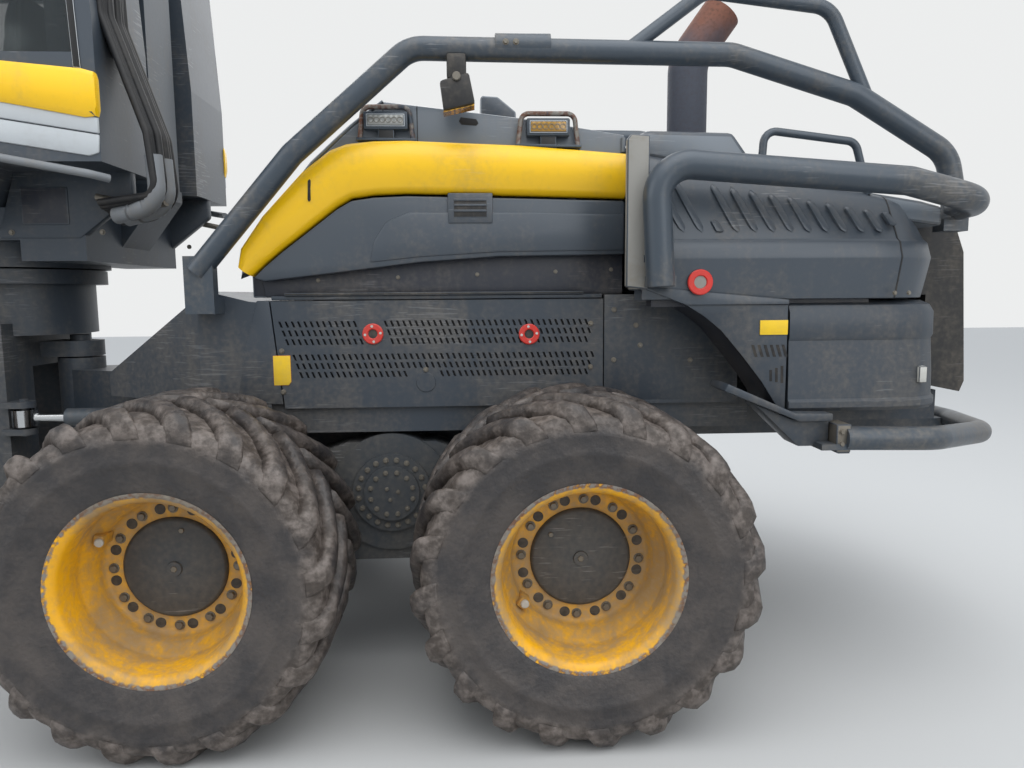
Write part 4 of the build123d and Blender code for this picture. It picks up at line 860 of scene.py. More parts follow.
def makeHood():
    y = hood["sideY"]
    band = Shape("yellowPaint")
    rings = []
    for (tx, tz), (lx, lz) in zip(hood["bandTop"], hood["bandLow"]):
        ring = [(tx + (lx - tx) * t, y + out, tz + (lz - tz) * t) for t, out in hood["bandBulge"]]
        rings.append(ring + [(lx, y - 0.03, lz), (tx, y - 0.03, tz)])
    band.loft(rings)
    band.mirrored().ride("hood_bands", "hood", sharp=38)

    side = Shape("slatePaint")
    side.prism(hood["sideLow"] + [(x, z - 0.012) for x, z in hood["bandLow"][1:]], "Y", y - 0.03,
               y + 0.022, 0.010)
    side.prism(hood["sidePlate"], "Y", y, y + 0.029, 0.012)
    x1, x0, z0, z1 = hood["latch"]
    latch = Shape("slatePaint")
    latch.box((x0 - 0.012, y, z0 - 0.012), (x1 + 0.012, y + 0.034, z1 + 0.012), 0.006)
    latch.use("blackPlastic").box((x0 + 0.012, y + 0.02, z0 + 0.012),
                                  (x1 - 0.012, y + 0.0355, z1 - 0.012), 0.003)
    latch.use("slatePaint")
    for z in (z0 + 0.036, z0 + 0.060, z0 + 0.082):
        latch.box((x0 + 0.016, y + 0.02, z), (x1 - 0.016, y + 0.040, z + 0.010), 0.003)
    side.mirrored().ride("hood_sides", "hood", "engine_hood", sharp=30)
    latch.mirrored().ride("hood_latches", "hood")

    skirt = Shape("shadowPaint")
    skirt.prism(hood["skirt"], "Y", y - 0.045, y - 0.022, 0.004)
    skirt.mirrored().ride("hood_skirts", "hood")

    # the hood top takes the lighter copy of the slate paint: painted highlight of sky light on an
    # upward face
    top = Shape("topPaint")
    flat = hood["topY"]
    rings = []
    for (bx, bz), (sx, sz) in zip(hood["bandTop"], hood["crown"]):
        half = [(bx, flat, bz - 0.030), (sx, flat, sz - 0.022), (sx, flat - 0.007, sz - 0.006),
                (sx, flat - 0.024, sz), (sx, 0.34, sz + 0.003), (sx, 0.0, sz + 0.004)]
        outer = half + [(x, -yy, z) for x, yy, z in half[-2::-1]]
        inner = [(x + 0.012, yy * 0.975, z - 0.022) for x, yy, z in outer[::-1]]
        rings.append(outer + inner)
    top.loft(rings)
    top.use("shadowPaint")
    top.prism(hood["frontPlate"], "X", -1.480, -1.410, 0.006)
    top.prism(hood["rearPlate"], "X", -3.050, -3.036)
    top.use("slatePaint")
    top.prism(hood["intake"], "Y", -0.400, 0.400, 0.010)
    top.ride("hood_top", "hood", sharp=28)

    trim = Shape("blackPlastic")
    for x, z0, z1 in hood["seams"]:
        trim.box((x - 0.002, flat, z0), (x + 0.002, flat + 0.0012, z1))
    trim.use("gripRubber").prism(hood["catch"], "Y", flat - 0.002, flat + 0.003, 0.004)
    trim.prism(hood["bandNotch"], "Y", y + 0.040, y + 0.0575, 0.002)
    # the crown edge tubes take the lighter copy of the slate paint: painted highlight of sky light
    trim.use("topPaint")
    trim.tube([(x, flat - 0.004, z - 0.004) for x, z in hood["crown"][:8]], 0.007, 0.05, 10)
    trim.tube([(-3.050, flat + 0.006, 2.34), (-3.050, flat + 0.006, 2.402)], 0.010, 0.02, 10)
    trim.mirrored().ride("hood_seams", "hood")
    for x in hood["skirtBolts"]:
        for s in (1, -1):
            bolt("hood", (x, s * (y - 0.022), 1.79 + (x + 1.7) * -0.03), (0, s, 0), 0.008)
    print("hood made")


makeHood()

panel = {
    "outer": 0.745,
    "rings": [(-1.936, 1.553), (-2.628, 1.545)],
    "bolts": [(-1.535, 1.482), (-1.535, 1.300), (-2.905, 1.590), (-2.905, 1.395), (-3.010, 1.650),
              (-3.010, 1.425), (-2.165, 1.392), (-3.110, 1.58), (-3.13, 1.49), (-3.36, 1.42)],
    "frontPost": [(-1.330, 1.245), (-1.380, 1.500), (-1.436, 1.702), (-1.489, 1.702),
                  (-1.532, 1.245)],
    "label": [(-1.496, 1.462), (-1.572, 1.462), (-1.572, 1.345), (-1.560, 1.330), (-1.496, 1.330)],
}


def reflector(shape, place, inner, outer):  # a flat ring with chamfered edges
    shape.lathe([(inner, 0), (outer, 0), (outer, 0.006), (outer - 0.004, 0.009),
                 (inner + 0.004, 0.009), (inner, 0.006)], place, yAxis, 36)


def makePanels():
    y = panel["outer"]
    frameRim = Shape("framePaint")
    frameRim.box((-2.955, y - 0.02, 1.704), (-1.500, y + 0.004, 1.722), 0.004)
    frameRim.box((-3.560, y - 0.020, 1.240), (-2.966, y + 0.001, 1.718), 0.004)
    frameRim.prism(panel["frontPost"], "Y", y - 0.02, y + 0.002, 0.003)
    frameRim.use("shadowPaint").box((-3.040, 0.360, 1.650), (-1.450, 0.716, 1.701))
    frameRim.box((-2.955, y - 0.030, 1.245), (-1.52, y - 0.024, 1.695))
    frameRim.use("blackPlastic").box((-2.870, y - 0.005, 1.722), (-1.560, y + 0.014, 1.735), 0.003)
    frameRim.use("framePaint").disc((-2.165, y - 0.001, 1.335), yAxis, 0.044, 0.004, 0.002, 40)
    frameRim.mirrored().ride("side_frames", "rear")

    marks = Shape("signalRed")
    for x, z in panel["rings"]:
        reflector(marks, (x, y, z), 0.020, 0.046)
    marks.use("blackPlastic")
    for x, z in panel["rings"]:
        marks.disc((x, y - 0.001, z), yAxis, 0.0205, 0.004, 0.001, 24)
    marks.use("platePale")
    for x, z in panel["rings"]:
        for turn in range(4):
            arm = Matrix.Rotation(turn * math.pi / 2 + 0.1, 3, yAxis) @ Vector((0.034, 0.0095, 0))
            marks.disc(Vector((x, y - 0.001, z)) + arm, yAxis, 0.006, 0.0016, 0.0005, 10)
    marks.use("plateYellow")
    marks.prism(panel["label"], "Y", y, y + 0.003, 0.0008)
    marks.mirrored().ride("side_marks", "rear")
    for side in (1, -1):
        for x, z in panel["bolts"]:
            bolt("rear", (x, side * (y + 0.001), z), (0, side, 0), 0.010)
    print("side panels made")


makePanels()

housing = {
    "front": -3.070,
    "wide": 1.058,
    "path": [(-3.070, 1.058), (-3.300, 1.058), (-3.700, 1.058), (-4.030, 1.056), (-4.150, 1.045),
             (-4.250, 1.010), (-4.330, 0.950), (-4.385, 0.860), (-4.405, 0.740)],
    "low": 1.692,
    "crease": 1.932,
    "topFront": 2.300,
    "topRear": 2.105,
    "slopeEnd": -4.30,
    "lean": 0.092,
    "ribStart": -3.163,
    "ribPitch": 0.0815,
    "ribCount": 13,
    "ribLean": 0.50,
    "ribHalf": 0.0190,
    "ribHeight": 0.0065,
    "ribSteps": 12,
    "brokenRib": 2,
    "seamPoint": 4,  # the outline point that the rear seam follows
    "mark": (-3.305, 1.765),
    "wing": [(0.795, 1.735), (1.040, 1.735), (1.052, 1.900), (1.040, 1.93), (0.985, 2.290),
             (0.935, 2.345), (0.795, 2.345)],
    "edgePlate": [(-3.090, 1.738), (-3.000, 1.748), (-3.000, 2.332), (-3.016, 2.350),
                  (-3.090, 2.344)],
    "roof": [(-3.072, 2.20), (-3.072, 2.300), (-4.300, 2.105), (-4.395, 2.080), (-4.395, 2.00),
             (-3.60, 2.10)],
    "ridge": [(-3.070, 2.290), (-3.070, 2.372), (-3.110, 2.392), (-3.470, 2.384), (-3.540, 2.290),
              (-3.540, 2.20)],
}


def inwards(path):  # unit vectors that point from a plan outline to the machine's middle
    made = []
    for i in range(len(path)):
        a, b = Vector(path[max(i - 1, 0)]), Vector(path[min(i + 1, len(path) - 1)])
        run = (b - a).normalized()
        made.append(Vector((-run.y, run.x)))
    return made


def wrapped(shape, path, section):  # section gives (inset, height) rows for each path point
    rings = []
    for place, inward in zip(path, inwards(path)):
        ring = []
        for inset, z in section(place[0]):
            spot = Vector(place) + inward * inset
            ring.append((spot.x, spot.y, z))
        rings.append(ring)
    return shape.loft(rings)


def housingTop(x):
    share = (x - housing["front"]) / (housing["slopeEnd"] - housing["front"])
    return housing["topFront"] + (housing["topRear"] - housing["topFront"]) * min(share, 1.0)


def makeHousing():
    low, crease = housing["low"], housing["crease"]

    def section(x):
        top = housingTop(x)
        return [(0.050, low), (0.030, low + 0.004), (0.022, low + 0.040), (-0.002, crease - 0.076),
                (-0.003, crease - 0.068), (0.014, crease - 0.006), (0.020, crease),
                (0.030, crease + 0.008), (housing["lean"], top - 0.050),
                (housing["lean"] + 0.016, top - 0.022), (0.130, top - 0.006), (0.170, top),
                (0.170, low)]

    shell = Shape("slatePaint")
    wrapped(shell, housing["path"], section)
    shell.mirrored()
    # roof and ridge take the lighter copy of the slate paint: painted highlight of sky light on
    # upward faces
    shell.use("topPaint")
    shell.prism(housing["roof"], "Y", -0.915, 0.915, 0.012)
    shell.prism(housing["ridge"], "Y", -0.925, 0.925, 0.018)
    shell.use("dustyPaint", 0.45)
    for near, far in ((1.020, 1.058), (-1.058, -1.020)):
        shell.prism(housing["edgePlate"], "Y", near, far, 0.005)
    for s in (1, -1):
        wing = [(s * across, z) for across, z in housing["wing"]]
        shell.prism(wing, "X", -3.078, -3.062, 0.005)
    shell.use("shadowPaint")
    shell.box((-3.10, -0.80, 1.74), (-3.085, 0.80, 2.33))
    for near, far in ((0.90, 0.985), (-0.985, -0.90)):
        shell.box((-4.05, near, 1.665), (-3.12, far, 1.720))
    shell.ride("housing_shell", "rear", "rear_housing", sharp=30)

    ribs = Shape("slatePaint")
    for i in range(housing["ribCount"]):
        x = housing["ribStart"] - i * housing["ribPitch"]
        top = housingTop(x - 0.02) - 0.075
        bottom = crease + 0.034
        crown = top
        if i == housing["brokenRib"]:
            top = bottom + 0.05
        elif i == housing["ribCount"] - 1:
            bottom = top - 0.06
        rings = []
        for k in range(housing["ribSteps"] + 1):
            t = k / housing["ribSteps"]
            grow = math.sqrt(max(1 - (2 * t - 1) ** 8, 0.0))
            z = bottom + (top - bottom) * t
            climb = (z - crease - 0.008) / (housingTop(x) - 0.05 - crease)
            out = housing["wide"] - 0.030 - climb * (housing["lean"] - 0.030)
            cx = x + 0.04 - (crown - z) * housing["ribLean"]
            half = housing["ribHalf"] * grow + 0.0008
            peak = out + housing["ribHeight"] * grow
            rings.append([(cx + half, out - 0.004, z), (cx + half * 0.7, peak, z),
                          (cx - half * 0.7, peak, z), (cx - half, out - 0.004, z)])
        ribs.loft(rings)
    ribs.mirrored().ride("housing_ribs", "rear", sharp=60)

    marks = Shape("blackPlastic")
    seam = []
    bend = housing["seamPoint"]
    spot, inward = Vector(housing["path"][bend]), inwards(housing["path"])[bend]
    along = Vector((-inward.y, inward.x)) * 0.003
    for inset, z in section(spot.x)[1:11]:
        outside, inside = spot + inward * (inset - 0.0015), spot + inward * (inset + 0.010)
        corners = (inside + along, outside + along, outside - along, inside - along)
        seam.append([(corner.x, corner.y, z) for corner in corners])
    marks.loft(seam)
    x, z = housing["mark"]
    marks.use("signalRed")
    reflector(marks, (x, 1.050, z), 0.026, 0.052)
    marks.use("dustyPaint").disc((x, 1.048, z), yAxis, 0.027, 0.006, 0.002, 24)
    marks.mirrored().ride("housing_marks", "rear")
    print("housing made")


makeHousing()

fender = {
    "arch": [(-3.255, 1.672), (-3.330, 1.625), (-3.403, 1.567), (-3.493, 1.462), (-3.580, 1.352),
             (-3.655, 1.236)],
    "outer": 1.040,
    "inner": 0.746,
    "low": 1.222,
    "high": 1.684,
    "path": [(-3.696, 1.040), (-3.900, 1.040), (-4.130, 1.038), (-4.270, 1.020), (-4.360, 0.970),
             (-4.420, 0.880), (-4.450, 0.760), (-4.462, 0.640)],
    "slots": (-3.532, -3.558, -3.584, -3.610, -3.636, -3.660),
    "smallSlots": (-3.612, -3.636, -3.660),
    "clampBolts": [(-3.885, 1.10), (-3.885, 1.15)],
    "wallBolts": [(-4.125, 1.715), (-4.185, 1.715)],
    "archLip": [(-3.085, 1.736), (-3.255, 1.672), (-3.684, 1.672), (-3.684, 1.692),
                (-3.085, 1.750)],
    "stepArm": [(-3.400, 1.322), (-3.415, 1.352), (-3.700, 1.226), (-3.860, 1.222), (-3.860, 1.190),
                (-3.720, 1.190)],
    "stepFoot": [(-3.540, 1.262), (-3.700, 1.196), (-3.860, 1.196), (-3.860, 1.080),
                 (-3.730, 1.080)],
}


def makeFenders():
    low, high, y = fender["low"], fender["high"], fender["outer"]

    def section(x):
        return [(0.060, low), (0.010, low), (-0.004, low + 0.016), (-0.004, low + 0.040),
                (0.008, low + 0.052), (0.010, low + 0.150), (0.020, high - 0.165),
                (0.012, high - 0.150), (0.014, high - 0.050), (0.032, high - 0.018), (0.070, high),
                (0.110, high), (0.110, low)]

    made = Shape("framePaint")
    wrapped(made, fender["path"], section)
    arch = fender["arch"]
    made.prism(arch + [(-3.684, low), (-3.684, high - 0.012), (-3.255, high - 0.012)], "Y",
               y - 0.035, y - 0.006, 0.003)
    liner = [[(x, y - 0.008, z), (x, fender["inner"], z), (x - 0.014, fender["inner"], z - 0.008),
              (x - 0.014, y - 0.008, z - 0.008)] for x, z in [(-3.085, 1.742), (-3.170, 1.712)]
             + arch]
    made.use("shadowPaint").loft(liner)
    made.use("slatePaint").prism(fender["archLip"], "Y", y - 0.030, y + 0.002, 0.003)
    made.use("plateYellow").box((-3.684, y - 0.008, 1.546), (-3.565, y - 0.002, 1.608), 0.001)
    made.use("platePale").box((-4.300, 0.985, 1.335), (-4.265, 1.0255, 1.405), 0.003)
    made.use("gripRubber")
    for x in fender["slots"]:
        made.prism([(x, 1.505), (x - 0.012, 1.505), (x - 0.028, 1.455), (x - 0.016, 1.455)], "Y",
                   y - 0.008, y - 0.0045)
    for k, x in enumerate(fender["smallSlots"]):
        made.prism([(x, 1.400 + 0.008 * k), (x - 0.011, 1.400 + 0.008 * k),
                    (x - 0.013, 1.352 - 0.004 * k), (x - 0.002, 1.352 - 0.004 * k)], "Y", y - 0.008,
                   y - 0.0045)
    made.use("framePaint")
    made.prism(fender["stepArm"], "Y", 0.90, 1.105, 0.006)
    made.prism(fender["stepFoot"], "Y", 0.93, 1.070, 0.006)
    made.use("wornSteel", 0.6).box((-3.925, 1.020, 1.062), (-3.862, 1.135, 1.182), 0.006)
    made.mirrored().ride("rear_fenders", "rear", sharp=30)
    for side in (1, -1):
        for x, z in fender["clampBolts"]:
            bolt("rear", (x, side * 1.136, z), (0, side, 0), 0.011)
        for x, z in fender["wallBolts"]:
            bolt("rear", (x, side * 1.050, z), (0, side, 0), 0.008)
    print("fenders made")


makeFenders()

rails = {
    "sleeveFrom": -2.485,
    "sleeveTo": -2.713,
    "y": 0.850,
    "z": 2.7385,
    "radius": 0.048,
    "sleeveWall": 0.0035,
    "sleeveBolts": (-2.527, -2.569),
    "handle": [(-3.590, 0.93, 2.22), (-3.600, 0.93, 2.392), (-3.990, 0.93, 2.345),
               (-4.055, 0.93, 2.13)],
    "lampBody": [(-2.270, 2.470), (-2.255, 2.590), (-2.375, 2.625), (-2.400, 2.500)],
    "lampLens": [(-2.268, 2.466), (-2.274, 2.482), (-2.392, 2.510), (-2.397, 2.495)],
}

lampSizes = {
    "y": 0.740,
    "wide": 0.188,
    "tall": 0.075,
    "deep": 0.050,
    "drop": 0.078,
    "cells": 6,
    "rows": [
        # centre x, centre z, half length of the guard, lens
        (-2.018, 2.463, 0.128, "whiteLens"),
        (-2.715, 2.438, 0.145, "amberLens"),
    ],
}


def makeRailDetails():
    made = Shape("railPaint")
    z = rails["z"]
    outer = rails["radius"] + rails["sleeveWall"]
    made.lathe([(rails["radius"], rails["sleeveTo"]), (outer, rails["sleeveTo"]),
                (outer, rails["sleeveFrom"]), (rails["radius"], rails["sleeveFrom"])],
               (0, rails["y"], z), xAxis, 36)
    made.tube(rails["handle"], 0.0165, 0.05, 12)
    made.mirrored().ride("rail_sleeves", "rear")
    for side in (1, -1):
        for x in rails["sleeveBolts"]:
            bolt("rear", (x, side * (rails["y"] + outer - 0.001), z + 0.004), (0, side, 0), 0.011)

    lamp = Shape("blackPlastic")
    lamp.box((-2.365, 0.80, 2.600), (-2.285, 0.90, 2.700), 0.010)
    lamp.prism(rails["lampBody"], "Y", 0.795, 0.905, 0.012)
    lamp.use("wornSteel").disc((-2.325, 0.905, 2.605), yAxis, 0.018, 0.010, 0.003, 16)
    lamp.use("amberLens").prism(rails["lampLens"], "Y", 0.81, 0.89)
    lamp.ride("rail_lamp", "rear")

    lamps = Shape("railPaint")
    y = lampSizes["y"]
    for x, z, half, lens in lampSizes["rows"]:
        x0, x1 = x - lampSizes["wide"] / 2, x + lampSizes["wide"] / 2
        z0, z1 = z - lampSizes["tall"] / 2, z + lampSizes["tall"] / 2
        face = y + lampSizes["deep"] / 2
        lamps.use("railPaint", 0.5).box((x0, y - 0.024, z0), (x1, face, z1), 0.007)
        lamps.use("cabGrey").box((x0 + 0.008, face - 0.01, z0 + 0.007),
                                 (x1 - 0.008, face + 0.003, z1 - 0.007), 0.005)
        lamps.use(lens).box((x0 + 0.015, face - 0.006, z0 + 0.014),
                            (x1 - 0.015, face + 0.005, z1 - 0.014), 0.003)
        lamps.use("wornSteel")
        for k in range(lampSizes["cells"]):
            centre = (x0 + 0.032 + k * (x1 - x0 - 0.064) / (lampSizes["cells"] - 1), face + 0.005,
                      z)
            lamps.lathe([(0.0100, 0), (0.0120, 0), (0.0120, 0.0022), (0.0100, 0.0022)], centre,
                        yAxis, 20)
        lamps.use("blackPlastic").box((x - 0.035, y - 0.017, z0 - 0.075),
                                      (x + 0.035, y + 0.017, z0 + 0.002), 0.004)
        low = z - lampSizes["drop"]
        lamps.use("railPaint", 0.9).tube([(x + half - 0.014, y, low),
                                          (x + half - 0.030, y, z1 + 0.022),
                                          (x - half + 0.030, y, z1 + 0.022),
                                          (x - half + 0.014, y, low)], 0.011, 0.035, 12)
        lamps.use("railPaint", 0.6).prism([(x - half, low - 0.008), (x + half, low - 0.004),
                                           (x + half, low + 0.008), (x - half, low + 0.004)], "Y",
                                          y - 0.022, y + 0.022, 0.003)
    lamps.mirrored().ride("hood_lamps", "hood", "work_lamps")
    print("rails and lamps made")


makeRailDetails()


# Cab

cab = {
    "half": 0.800,
    "bandTop": [(-0.852, 2.612), (-0.846, 2.634), (-0.800, 2.646), (-0.520, 2.672),
                (-0.178, 2.705)],
    "bandLow": [(-0.852, 2.490), (-0.846, 2.466), (-0.800, 2.462), (-0.520, 2.512),
                (-0.178, 2.570)],
    "bandBulge": [(-0.02, -0.004), (-0.02, 0.017), (0.10, 0.030), (0.50, 0.033), (0.90, 0.030),
                  (1.02, 0.017), (1.02, -0.004)],
    "platformBolts": (-0.70, -0.30, 0.10, 0.50),
    "sideHigh": [(-0.846, 2.395), (-0.178, 2.500), (-0.178, 2.572), (-0.846, 2.462)],
    "sideLow": [(-0.840, 2.318), (-0.800, 2.306), (-0.300, 2.385), (-0.178, 2.404), (-0.178, 2.496),
                (-0.846, 2.391)],
    "pillarStrip": [(-0.790, 2.655), (-0.760, 2.658), (-0.735, 3.330), (-0.765, 3.330)],
    "platformSide": [(-0.842, 2.300), (-0.842, 2.180), (-0.600, 1.990), (0.620, 1.990),
                     (0.620, 2.045), (-0.250, 2.045), (-0.330, 2.300)],
    "pipe": [(-0.700, 0.56, 2.170), (-0.930, 0.56, 2.120), (-1.020, 0.60, 2.140)],
}


def makeCabSides():
    y = cab["half"]
    band = Shape("yellowPaint")
    rings = []
    for (tx, tz), (lx, lz) in zip(cab["bandTop"], cab["bandLow"]):
        fade = 0.93 if tx < -0.85 else 1.0
        ring = [(tx + (lx - tx) * t, y + out * fade, tz + (lz - tz) * t) for t,
                out in cab["bandBulge"]]
        rings.append(ring + [(lx, y - 0.01, lz), (tx, y - 0.01, tz)])
    band.loft(rings)
    band.mirrored().ride("cab_bands", "superstructure", sharp=40)

    side = Shape("cabGrey")
    side.prism(cab["sideHigh"], "Y", y - 0.006, y + 0.012, 0.006)
    side.prism(cab["sideLow"], "Y", y - 0.006, y + 0.008, 0.006)
    side.use("sleeveGrey")
    side.tube([(-0.190, y + 0.018, 2.345), (-0.480, y + 0.018, 2.290), (-0.800, y + 0.010, 2.232),
               (-0.848, y - 0.05, 2.222)], 0.0175, 0.05, 14)
    side.use("blackPlastic")
    side.prism(cab["pillarStrip"], "Y", y - 0.004, y + 0.005, 0.002)
    side.mirrored().ride("cab_sides", "superstructure", sharp=30)

    lower = Shape("framePaint")
    lower.prism(cab["platformSide"], "Y", 0.470, 0.526, 0.010)
    lower.use("shadowPaint").box((-0.560, 0.500, 2.05), (-0.350, 0.532, 2.22), 0.008)
    lower.use("wornSteel").tube(cab["pipe"], 0.016, 0.05, 12)
    lower.mirrored().ride("platform_sides", "superstructure")
    for side in (1, -1):
        for x in cab["platformBolts"]:
            bolt("superstructure", (x, side * 0.527, 2.018), (0, side, 0), 0.011)
    print("cab sides made")


hoses = {
    "count": 9,
    "firstY": 0.512,
    "pitch": 0.026,
    "wander": 0.040,
    "radii": (0.018, 0.022, 0.016),
    "sleeves": (0.575, 0.685),
    "sleeveRadius": 0.036,
    "sleeveRib": 0.0022,
}


def makeHoses():  # the bundle that hangs from the crane and turns back under the cab
    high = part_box("cab_hoses")[1]
    made = Shape("hoseRubber")
    for k in range(hoses["count"]):
        y = hoses["firstY"] + hoses["pitch"] * k
        out = hoses["wander"] * math.sin(k * 1.9)
        radius = hoses["radii"][k % 3]
        made.use("hoseRubber").tube([(-0.835 - 0.02 * (k % 2), y, high.z - 0.01),
                                     (-0.850 + out * 0.3, y, 2.90), (-1.010 + out * 0.4, y, 2.42),
                                     (-1.028 + out * 0.3, y - 0.01, 2.16),
                                     (-0.900, y - 0.06, 2.09 + 0.008 * k),
                                     (-0.740, y - 0.10, 2.075 + 0.008 * k)], radius, 0.11, 12, 8)
        made.use("wornSteel").tube([(-0.835 - 0.02 * (k % 2), y, 3.30),
                                    (-0.837 - 0.02 * (k % 2), y, 3.40)], radius + 0.004, 0.01, 12)
    made.use("sleeveGrey")
    for y in hoses["sleeves"]:
        made.tube([(-1.012, y, 2.33), (-1.020, y, 2.13), (-0.880, y - 0.06, 2.095),
                   (-0.800, y - 0.09, 2.085)], 0.040, 0.10, 18, 10,
                  lambda t: hoses["sleeveRadius"] + hoses["sleeveRib"] * math.sin(t * 70))
    made.ride("hose_bundle", "superstructure", "cab_hoses")


def settled(piece):  # the piece's mesh with its modifiers applied
    bpy.context.view_layer.update()
    final = piece.evaluated_get(bpy.context.evaluated_depsgraph_get())
    return bpy.data.meshes.new_from_object(final)


padSizes = {"voxel": 0.006, "pressure": 4.0, "frames": 20, "cap": 0.014}


def pad(name, outline, low, high):  # a stuffed cushion, swollen by cloth pressure
    shape = Shape("seatVinyl")
    shape.prism(outline, "Y", low, high, 0.022)
    made = shape.object(name, 180)
    remesh = made.modifiers.new("remesh", "REMESH")
    remesh.mode = "VOXEL"
    remesh.voxel_size = padSizes["voxel"]
    mesh = settled(made)
    made.modifiers.clear()
    made.data = mesh
    cloth = made.modifiers.new("cloth", "CLOTH")
    cloth.settings.use_pressure = True
    cloth.settings.uniform_pressure_force = padSizes["pressure"]
    cloth.settings.effector_weights.gravity = 0.0
    for step in range(1, padSizes["frames"] + 1):
        scene.frame_set(step)
    swollen = settled(made)
    made.modifiers.clear()
    scene.frame_set(1)
    for vert, moved in zip(mesh.vertices, swollen.vertices):
        shift = moved.co - vert.co
        vert.co += shift * min(1.0, padSizes["cap"] / max(shift.length, 0.000001))
    for face in mesh.polygons:
        face.use_smooth = True
    mesh.materials.clear()
    mesh.materials.append(finishes["seatVinyl"])
    return made


seat = {
    "x": 0.04,
    "armRest": (0.272, 0.348),
    "armPost": (0.245, 0.290),
    "stick": (0.320, 0.31),
    "bellows": [(0.000, 2.10), (0.130, 2.10), (0.130, 2.13), (0.100, 2.16), (0.116, 2.19),
                (0.092, 2.22), (0.112, 2.25), (0.090, 2.28), (0.110, 2.31), (0.088, 2.34),
                (0.112, 2.38), (0.170, 2.41), (0.170, 2.425), (0, 2.425)],
    "pan": [(-0.19, 2.425), (0.28, 2.425), (0.30, 2.470), (-0.19, 2.470)],
    "backPlate": [(-0.205, 2.500), (-0.170, 2.500), (-0.235, 3.165), (-0.262, 3.165)],
    "restOutline": [(-0.105, 2.715), (0.365, 2.715), (0.372, 2.745), (0.350, 2.768),
                    (-0.100, 2.768)],
    "postOutline": [(-0.055, 2.485), (0.035, 2.485), (0.010, 2.718), (-0.045, 2.718)],
    "stickProfile": [(0, 2.766), (0.018, 2.766), (0.014, 2.800), (0.019, 2.840), (0.023, 2.875),
                     (0.014, 2.893), (0, 2.896)],
    "cushion": [(-0.160, 2.478), (0.268, 2.478), (0.290, 2.500), (0.278, 2.535), (0.230, 2.545),
                (-0.150, 2.530)],
    "back": [(-0.150, 2.560), (-0.098, 2.560), (-0.120, 2.800), (-0.165, 3.060), (-0.190, 3.150),
             (-0.225, 3.150)],
}


def makeSeat():
    stand = Shape("blackPlastic")
    stand.lathe(seat["bellows"], (seat["x"], 0, 0), zAxis, 40, loop=False)
    stand.prism(seat["pan"], "Y", -0.235, 0.235, 0.014)
    stand.prism(seat["backPlate"], "Y", -0.225, 0.225, 0.012)
    stickX, stickY = seat["stick"]
    for side in (1, -1):
        y0, y1 = sorted(side * y for y in seat["armRest"])
        stand.prism(seat["restOutline"], "Y", y0, y1, 0.010)
        b0, b1 = sorted(side * y for y in seat["armPost"])
        stand.prism(seat["postOutline"], "Y", b0, b1, 0.006)
        stand.use("gripRubber").lathe(seat["stickProfile"], (stickX, side * stickY, 0), zAxis, 24,
                                      loop=False)
        stand.use("wornSteel").disc((stickX, side * stickY, 2.894), zAxis, 0.006, 0.006, 0.002, 12)
        stand.use("blackPlastic")
    stand.ride("seat_frame", "superstructure", "operator_seat")
    cushion = pad("seat_cushion", seat["cushion"], -0.225, 0.225)
    back = pad("seat_back", seat["back"], -0.215, 0.215)
    for piece in (cushion, back):
        mount(piece, "superstructure")
    print("seat made")


makeCabSides()
makeHoses()
makeSeat()


def dressNodes():  # finishes for the nodes that keep their own shape
    table = {
        "framePaint": ["side_panels", "rear_frame", "front_frame", "mid_frame", "front_deck",
                       "slew_platform"],
        "hubPaint": ["rear_bogies", "front_bogies"],
        "railPaint": ["guard_rails", "rear_bumper"],
        "blackPlastic": ["rear_grille"],
        "engineCast": ["engine_block"],
        "scaledRust": ["exhaust_stack"],
        "slatePaint": ["cab_roof", "cab_door", "cab_shell", "engine_hood", "rear_housing"],
        "cabGlass": ["cab_glass", "door_glass"],
        "seatVinyl": ["operator_seat"],
        "cranePaint": ["crane_column", "lift_boom", "stick", "stick_extension", "lift_cylinder",
                       "stick_cylinder", "rear_steer_cylinder", "front_steer_cylinder", "boom_link",
                       "rotator", "tilt_frame"],
        "rodChrome": ["lift_rod", "stick_rod", "rear_steer_rod", "front_steer_rod"],
        "yellowPaint": ["head_frame", "saw_box"],
        "wornSteel": ["knife_front", "knife_rear", "feed_roller_front", "feed_roller_rear"],
        "hoseRubber": ["cab_hoses"],
        "whiteLens": ["work_lamps"],
    }
    for finish, nodes in table.items():
        for node in nodes:
            data = frame["nodes"][node].data
            data.materials.clear()
            data.materials.append(finishes[finish])
    print("nodes dressed")


dressNodes()


cranePins = [
    # x, z, pieces that may hold the pin's end
    (-0.680, 3.790, ["lift_boom"]),
    (-0.800, 4.090, ["crane_column"]),
    (0.997, 4.072, ["lift_boom"]),
    (1.330, 3.669, ["lift_boom"]),
    (2.438, 3.960, ["lift_boom", "stick"]),
    (2.419, 3.550, ["stick"]),
    (4.560, 2.180, ["stick_extension", "boom_link"]),
]
pinBodies = {
    "lift_boom": "lift_arm",
    "crane_column": "superstructure",
    "stick": "stick_arm",
    "stick_extension": "extension",
    "boom_link": "link",
}
pinCap = {"radius": 0.034, "thick": 0.010, "bolts": 3, "boltCircle": 0.021, "boltSize": 0.008}


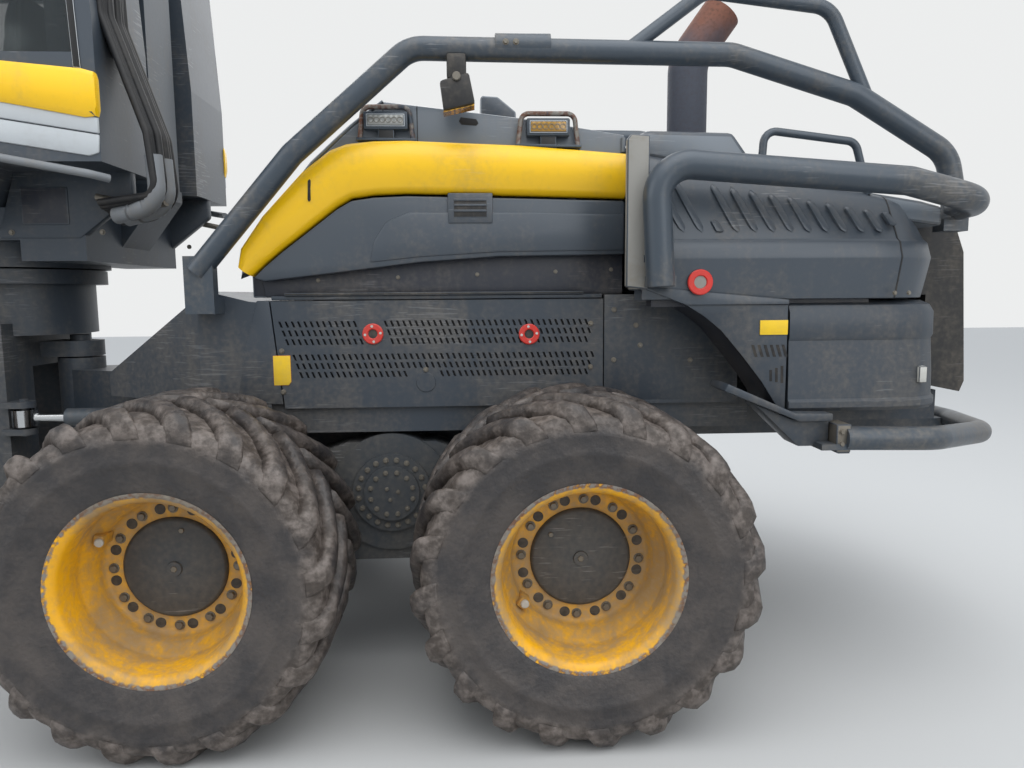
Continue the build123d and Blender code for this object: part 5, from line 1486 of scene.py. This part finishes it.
def outerFace(node, x, z, side):  # how far from the middle a ray from the side meets the node
    thing = frame["nodes"][node].evaluated_get(bpy.context.evaluated_depsgraph_get())
    back = thing.matrix_world.inverted()
    found = thing.ray_cast(back @ Vector((x, side * 3.0, z)), back.to_3x3() @ Vector((0, -side, 0)))
    return side * (thing.matrix_world @ found[1]).y if found[0] else 0.0


def makePins():  # end caps with three bolts on the crane's pins
    caps = {}
    for x, z, nodes in cranePins:
        for side in (1, -1):
            reach, node = max((outerFace(node, x, z, side), node) for node in nodes)
            if reach > 0:
                body = pinBodies[node]
                shape = caps.setdefault(body, Shape("wornSteel"))
                shape.disc((x, side * (reach - 0.002), z), Vector((0, side, 0)), pinCap["radius"],
                           pinCap["thick"], 0.002, 28)
                boltRing(body, (x, side * (reach + 0.007), z), (0, side, 0), pinCap["boltCircle"],
                         pinCap["bolts"], pinCap["boltSize"], 0.5)
    for body, shape in caps.items():
        shape.ride(body + "_pins", body, sharp=40)
    print("pins made:", len(caps))


makePins()


flanges = {
    "height": 0.830,
    "places": [("rear", -2.0), ("front", 2.0)],
    "rings": [
        # distance from the middle, radius, count, bolt size
        (0.740, 0.152, 20, 0.011),
        (0.755, 0.098, 12, 0.010),
        (0.755, 0.030, 3, 0.008),
    ],
}


def flangeBolts():  # bolt circles on the bogie trunnions
    for body, x in flanges["places"]:
        for side in (1, -1):
            for y, radius, count, size in flanges["rings"]:
                boltRing(body, (x, side * y, flanges["height"]), (0, side, 0), radius, count, size)


flangeBolts()


def placeBolts():
    item = boltItem()
    for body, rows in sorted(boltSpots.items()):
        mount(repeatOnSpots(f"{body}_bolts", item, "wornSteel", rows), body)
    bpy.data.objects.remove(item)
    print("bolts placed:", sum(len(rows) for rows in boltSpots.values()))


placeBolts()


def makeFloor():
    tile = Finish("paleFloor")
    speck = tile.cloud(0.8, 5.0)
    surface = tile.tint(speck * 0.08, studio["floorTone"], studio["floorSpot"])
    material = tile.shade(Base_Color=surface, Roughness=0.85)
    half = studio["floorSize"] / 2
    mesh = bpy.data.meshes.new("studioFloor")
    mesh.from_pydata([(-half, -half, 0), (half, -half, 0), (half, half, 0), (-half, half, 0)], [],
                     [(0, 1, 2, 3)])
    mesh.materials.append(material)
    floor = bpy.data.objects.new("studioFloor", mesh)
    scene.collection.objects.link(floor)


makeFloor()
